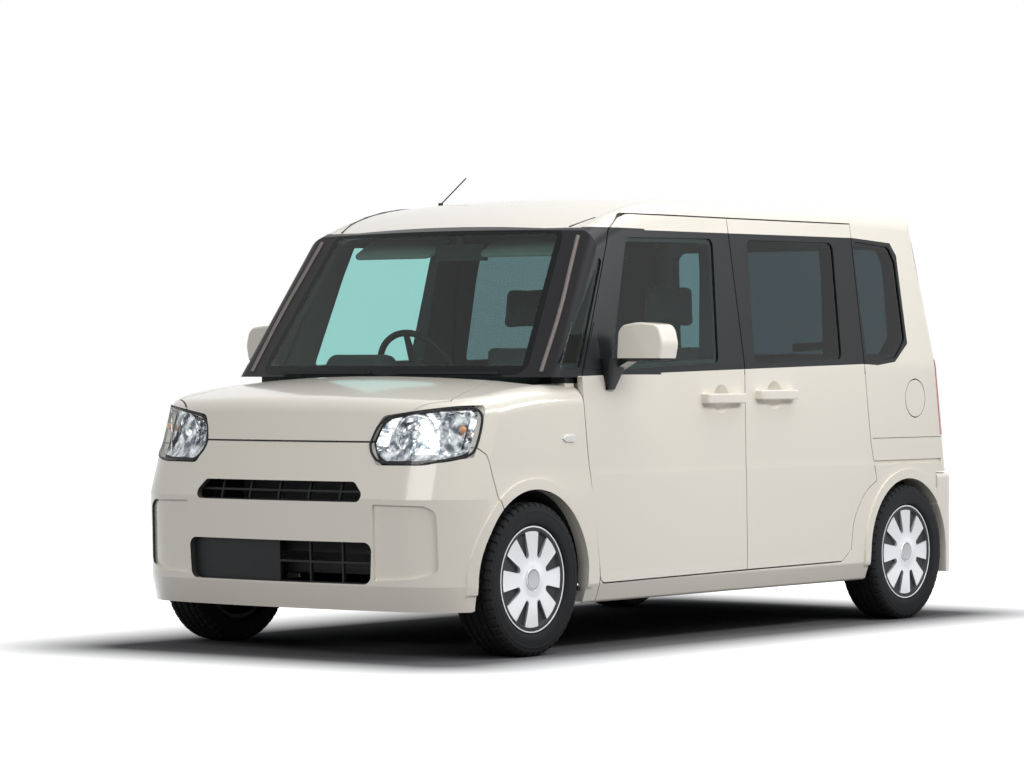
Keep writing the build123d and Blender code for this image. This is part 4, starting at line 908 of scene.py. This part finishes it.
for piece, finish in [(rim, leather), (hub, cabin_plastic)] + [(s, cabin_plastic) for s in spokes]:
    piece.data.transform(wheel_place)
    dress(piece, finish, "steering_wheel", bevel=0.004 if piece in spokes else 0.0)
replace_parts(rim, "steering_wheel")

# Sun visors: padded boards in pale cloth, clipped to the roof over the windscreen.
visor_cloth = dark_plastic("visor_cloth", (0.36, 0.35, 0.32), 0.8, 600.0, 0.0003)
visor_place, visor_tip = (0.63, 0.29, 1.415), 0.5
for side, name in both_sides:
    visor = begin("cube", f"sun_visor_{name}", location=mirrored([visor_place], side)[0],
                  rotation=(0, visor_tip, 0), scale=(0.15, 0.36, 0.014), size=1)
    choose(lambda p, e: abs(e.verts[0].co.y - e.verts[1].co.y) < 0.001
           and abs(e.verts[0].co.x - e.verts[1].co.x) < 0.02, "EDGE")
    bpy.ops.mesh.bevel(offset=0.03, segments=4, affect="EDGES")
    dress(visor, visor_cloth, "car_body", bevel=0.004)


# Seats: foam cushions in woven grey cloth, sewn with a channel each side of the middle, on steel
# runners. Each form is filled by a short cloth simulation, then its channels are pressed in.
def woven(name, colour, pitch=0.0016):
    """Cloth of two crossing threads, with a faint blotch."""
    shader = Shader(name)
    place = shader.point()
    x, y, z = shader.axes(place)
    weft = (y * (2 * pi / pitch)).math("SINE")
    warp = ((x + z) * (2 * pi / pitch)).math("SINE")
    thread = (weft * warp + 1.0) * 0.5
    base = shader.mix(shader.noise(place, 14.0, 3.0), shade(colour, 0.8), shade(colour, 1.2))
    cloth = shader.mix(thread * 0.35, base, shade(colour, 1.8))
    shader.set(base_color=cloth, roughness=0.85, sheen_weight=0.15,
               normal=shader.bump(thread, 0.0004, 0.5))
    return shader.material


seat_cloth = woven("seat_cloth", (0.10, 0.102, 0.098))
seam_allowance, seam_width, seam_depth = 0.03, 0.008, 0.008
filling_steps, filling_pressure = 20, 4


def cushion(name, location, size, lean, taper, channels, bolster, voxel, cap, fill, node):
    """A stuffed form: a box leaning back, its top narrowed, filled, and sewn along its channels."""
    piece = begin("cube", name, size=1, scale=[s - seam_allowance for s in size])
    choose(lambda p, v: p.z > 0, "VERT")
    bpy.ops.transform.resize(value=(1, taper, 1), center_override=(0, 0, size[2] / 2))
    bpy.ops.mesh.select_all(action="SELECT")
    bpy.ops.mesh.bevel(offset=min(size) * 0.28, segments=4, affect="EDGES")
    pick(piece)
    piece.data.remesh_voxel_size = voxel
    bpy.ops.object.voxel_remesh()
    start = [vertex.co.copy() for vertex in piece.data.vertices]
    filling = piece.modifiers.new("filling", "CLOTH")
    filling.settings.use_pressure = True
    filling.settings.uniform_pressure_force = filling_pressure
    filling.settings.effector_weights.gravity = 0
    for step in range(1, filling_steps + 1):
        scene.frame_set(step)
    bpy.ops.object.modifier_apply(modifier="filling")
    scene.frame_set(1)
    thin = min(range(3), key=lambda axis: size[axis])
    wide = size[1] / 2
    for vertex, home in zip(piece.data.vertices, start):
        push = vertex.co - home
        if push.length > cap:
            vertex.co = home + push.normalized() * cap
        off_middle = abs(vertex.co.y)
        press = sum(exp(-(((off_middle - line) / seam_width) ** 2)) for line in channels)
        face = 1 if vertex.co[thin] > 0 else -1
        vertex.co[thin] -= face * seam_depth * min(1.0, press)
        if face > 0:
            vertex.co[thin] += bolster * max(0.0, off_middle / wide - 0.45) ** 1.5
    piece.data.transform(Matrix.Translation(location) @ Matrix.Rotation(lean, 4, "Y"))
    smooth = piece.modifiers.new("smooth", "SUBSURF")
    smooth.levels = smooth.render_levels = 1
    dress(piece, seat_cloth, "car_body", smooth=60)
    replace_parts(piece, node)


# name, place, size, lean, taper, channels, bolster, mesh size, how far the filling pushes, fill
seat_y = 0.325
front_seat = [
    ("seat_cushion", (0.10, seat_y, 0.452), (0.50, 0.46, 0.21), 0.04, 0.98, (0.135,), 0.05, 0.014,
     0.022, 0.7),
    ("seat_back", (-0.150, seat_y, 0.795), (0.10, 0.44, 0.60), -0.16, 0.86, (0.125,), 0.09, 0.014,
     0.022, 0.7),
    ("headrest", (-0.196, seat_y, 1.208), (0.075, 0.25, 0.175), -0.06, 0.9, (), 0.0, 0.008, 0.012, 0.8),
]
rear_seat = [
    ("rear_cushion", (-0.78, 0, 0.415), (0.40, 0.84, 0.24), 0.03, 1.0, (0.14,), 0.0, 0.016, 0.022, 0.7),
    ("rear_back", (-0.995, 0, 0.80), (0.095, 0.82, 0.54), -0.18, 0.98, (0.0, 0.2), 0.0, 0.016, 0.022, 0.7),
]
for side, name in both_sides:
    for part, place, *form in front_seat:
        cushion(f"{part}_{name}", mirrored([place], side)[0], *form, "front_seats")
for part, place, *form in rear_seat:
    cushion(part, place, *form, "rear_seat")
gauge, runner_size = 0.17, (0.44, 0.035, 0.08)
for side, name in both_sides:
    for offset, rail in ((gauge, "inner"), (-gauge, "outer")):
        runner = begin("cube", f"seat_runner_{name}_{rail}",
                       location=(0.11, side * (seat_y + offset), 0.303), scale=runner_size, size=1)
        dress(runner, enamel, "car_body", bevel=0.004)
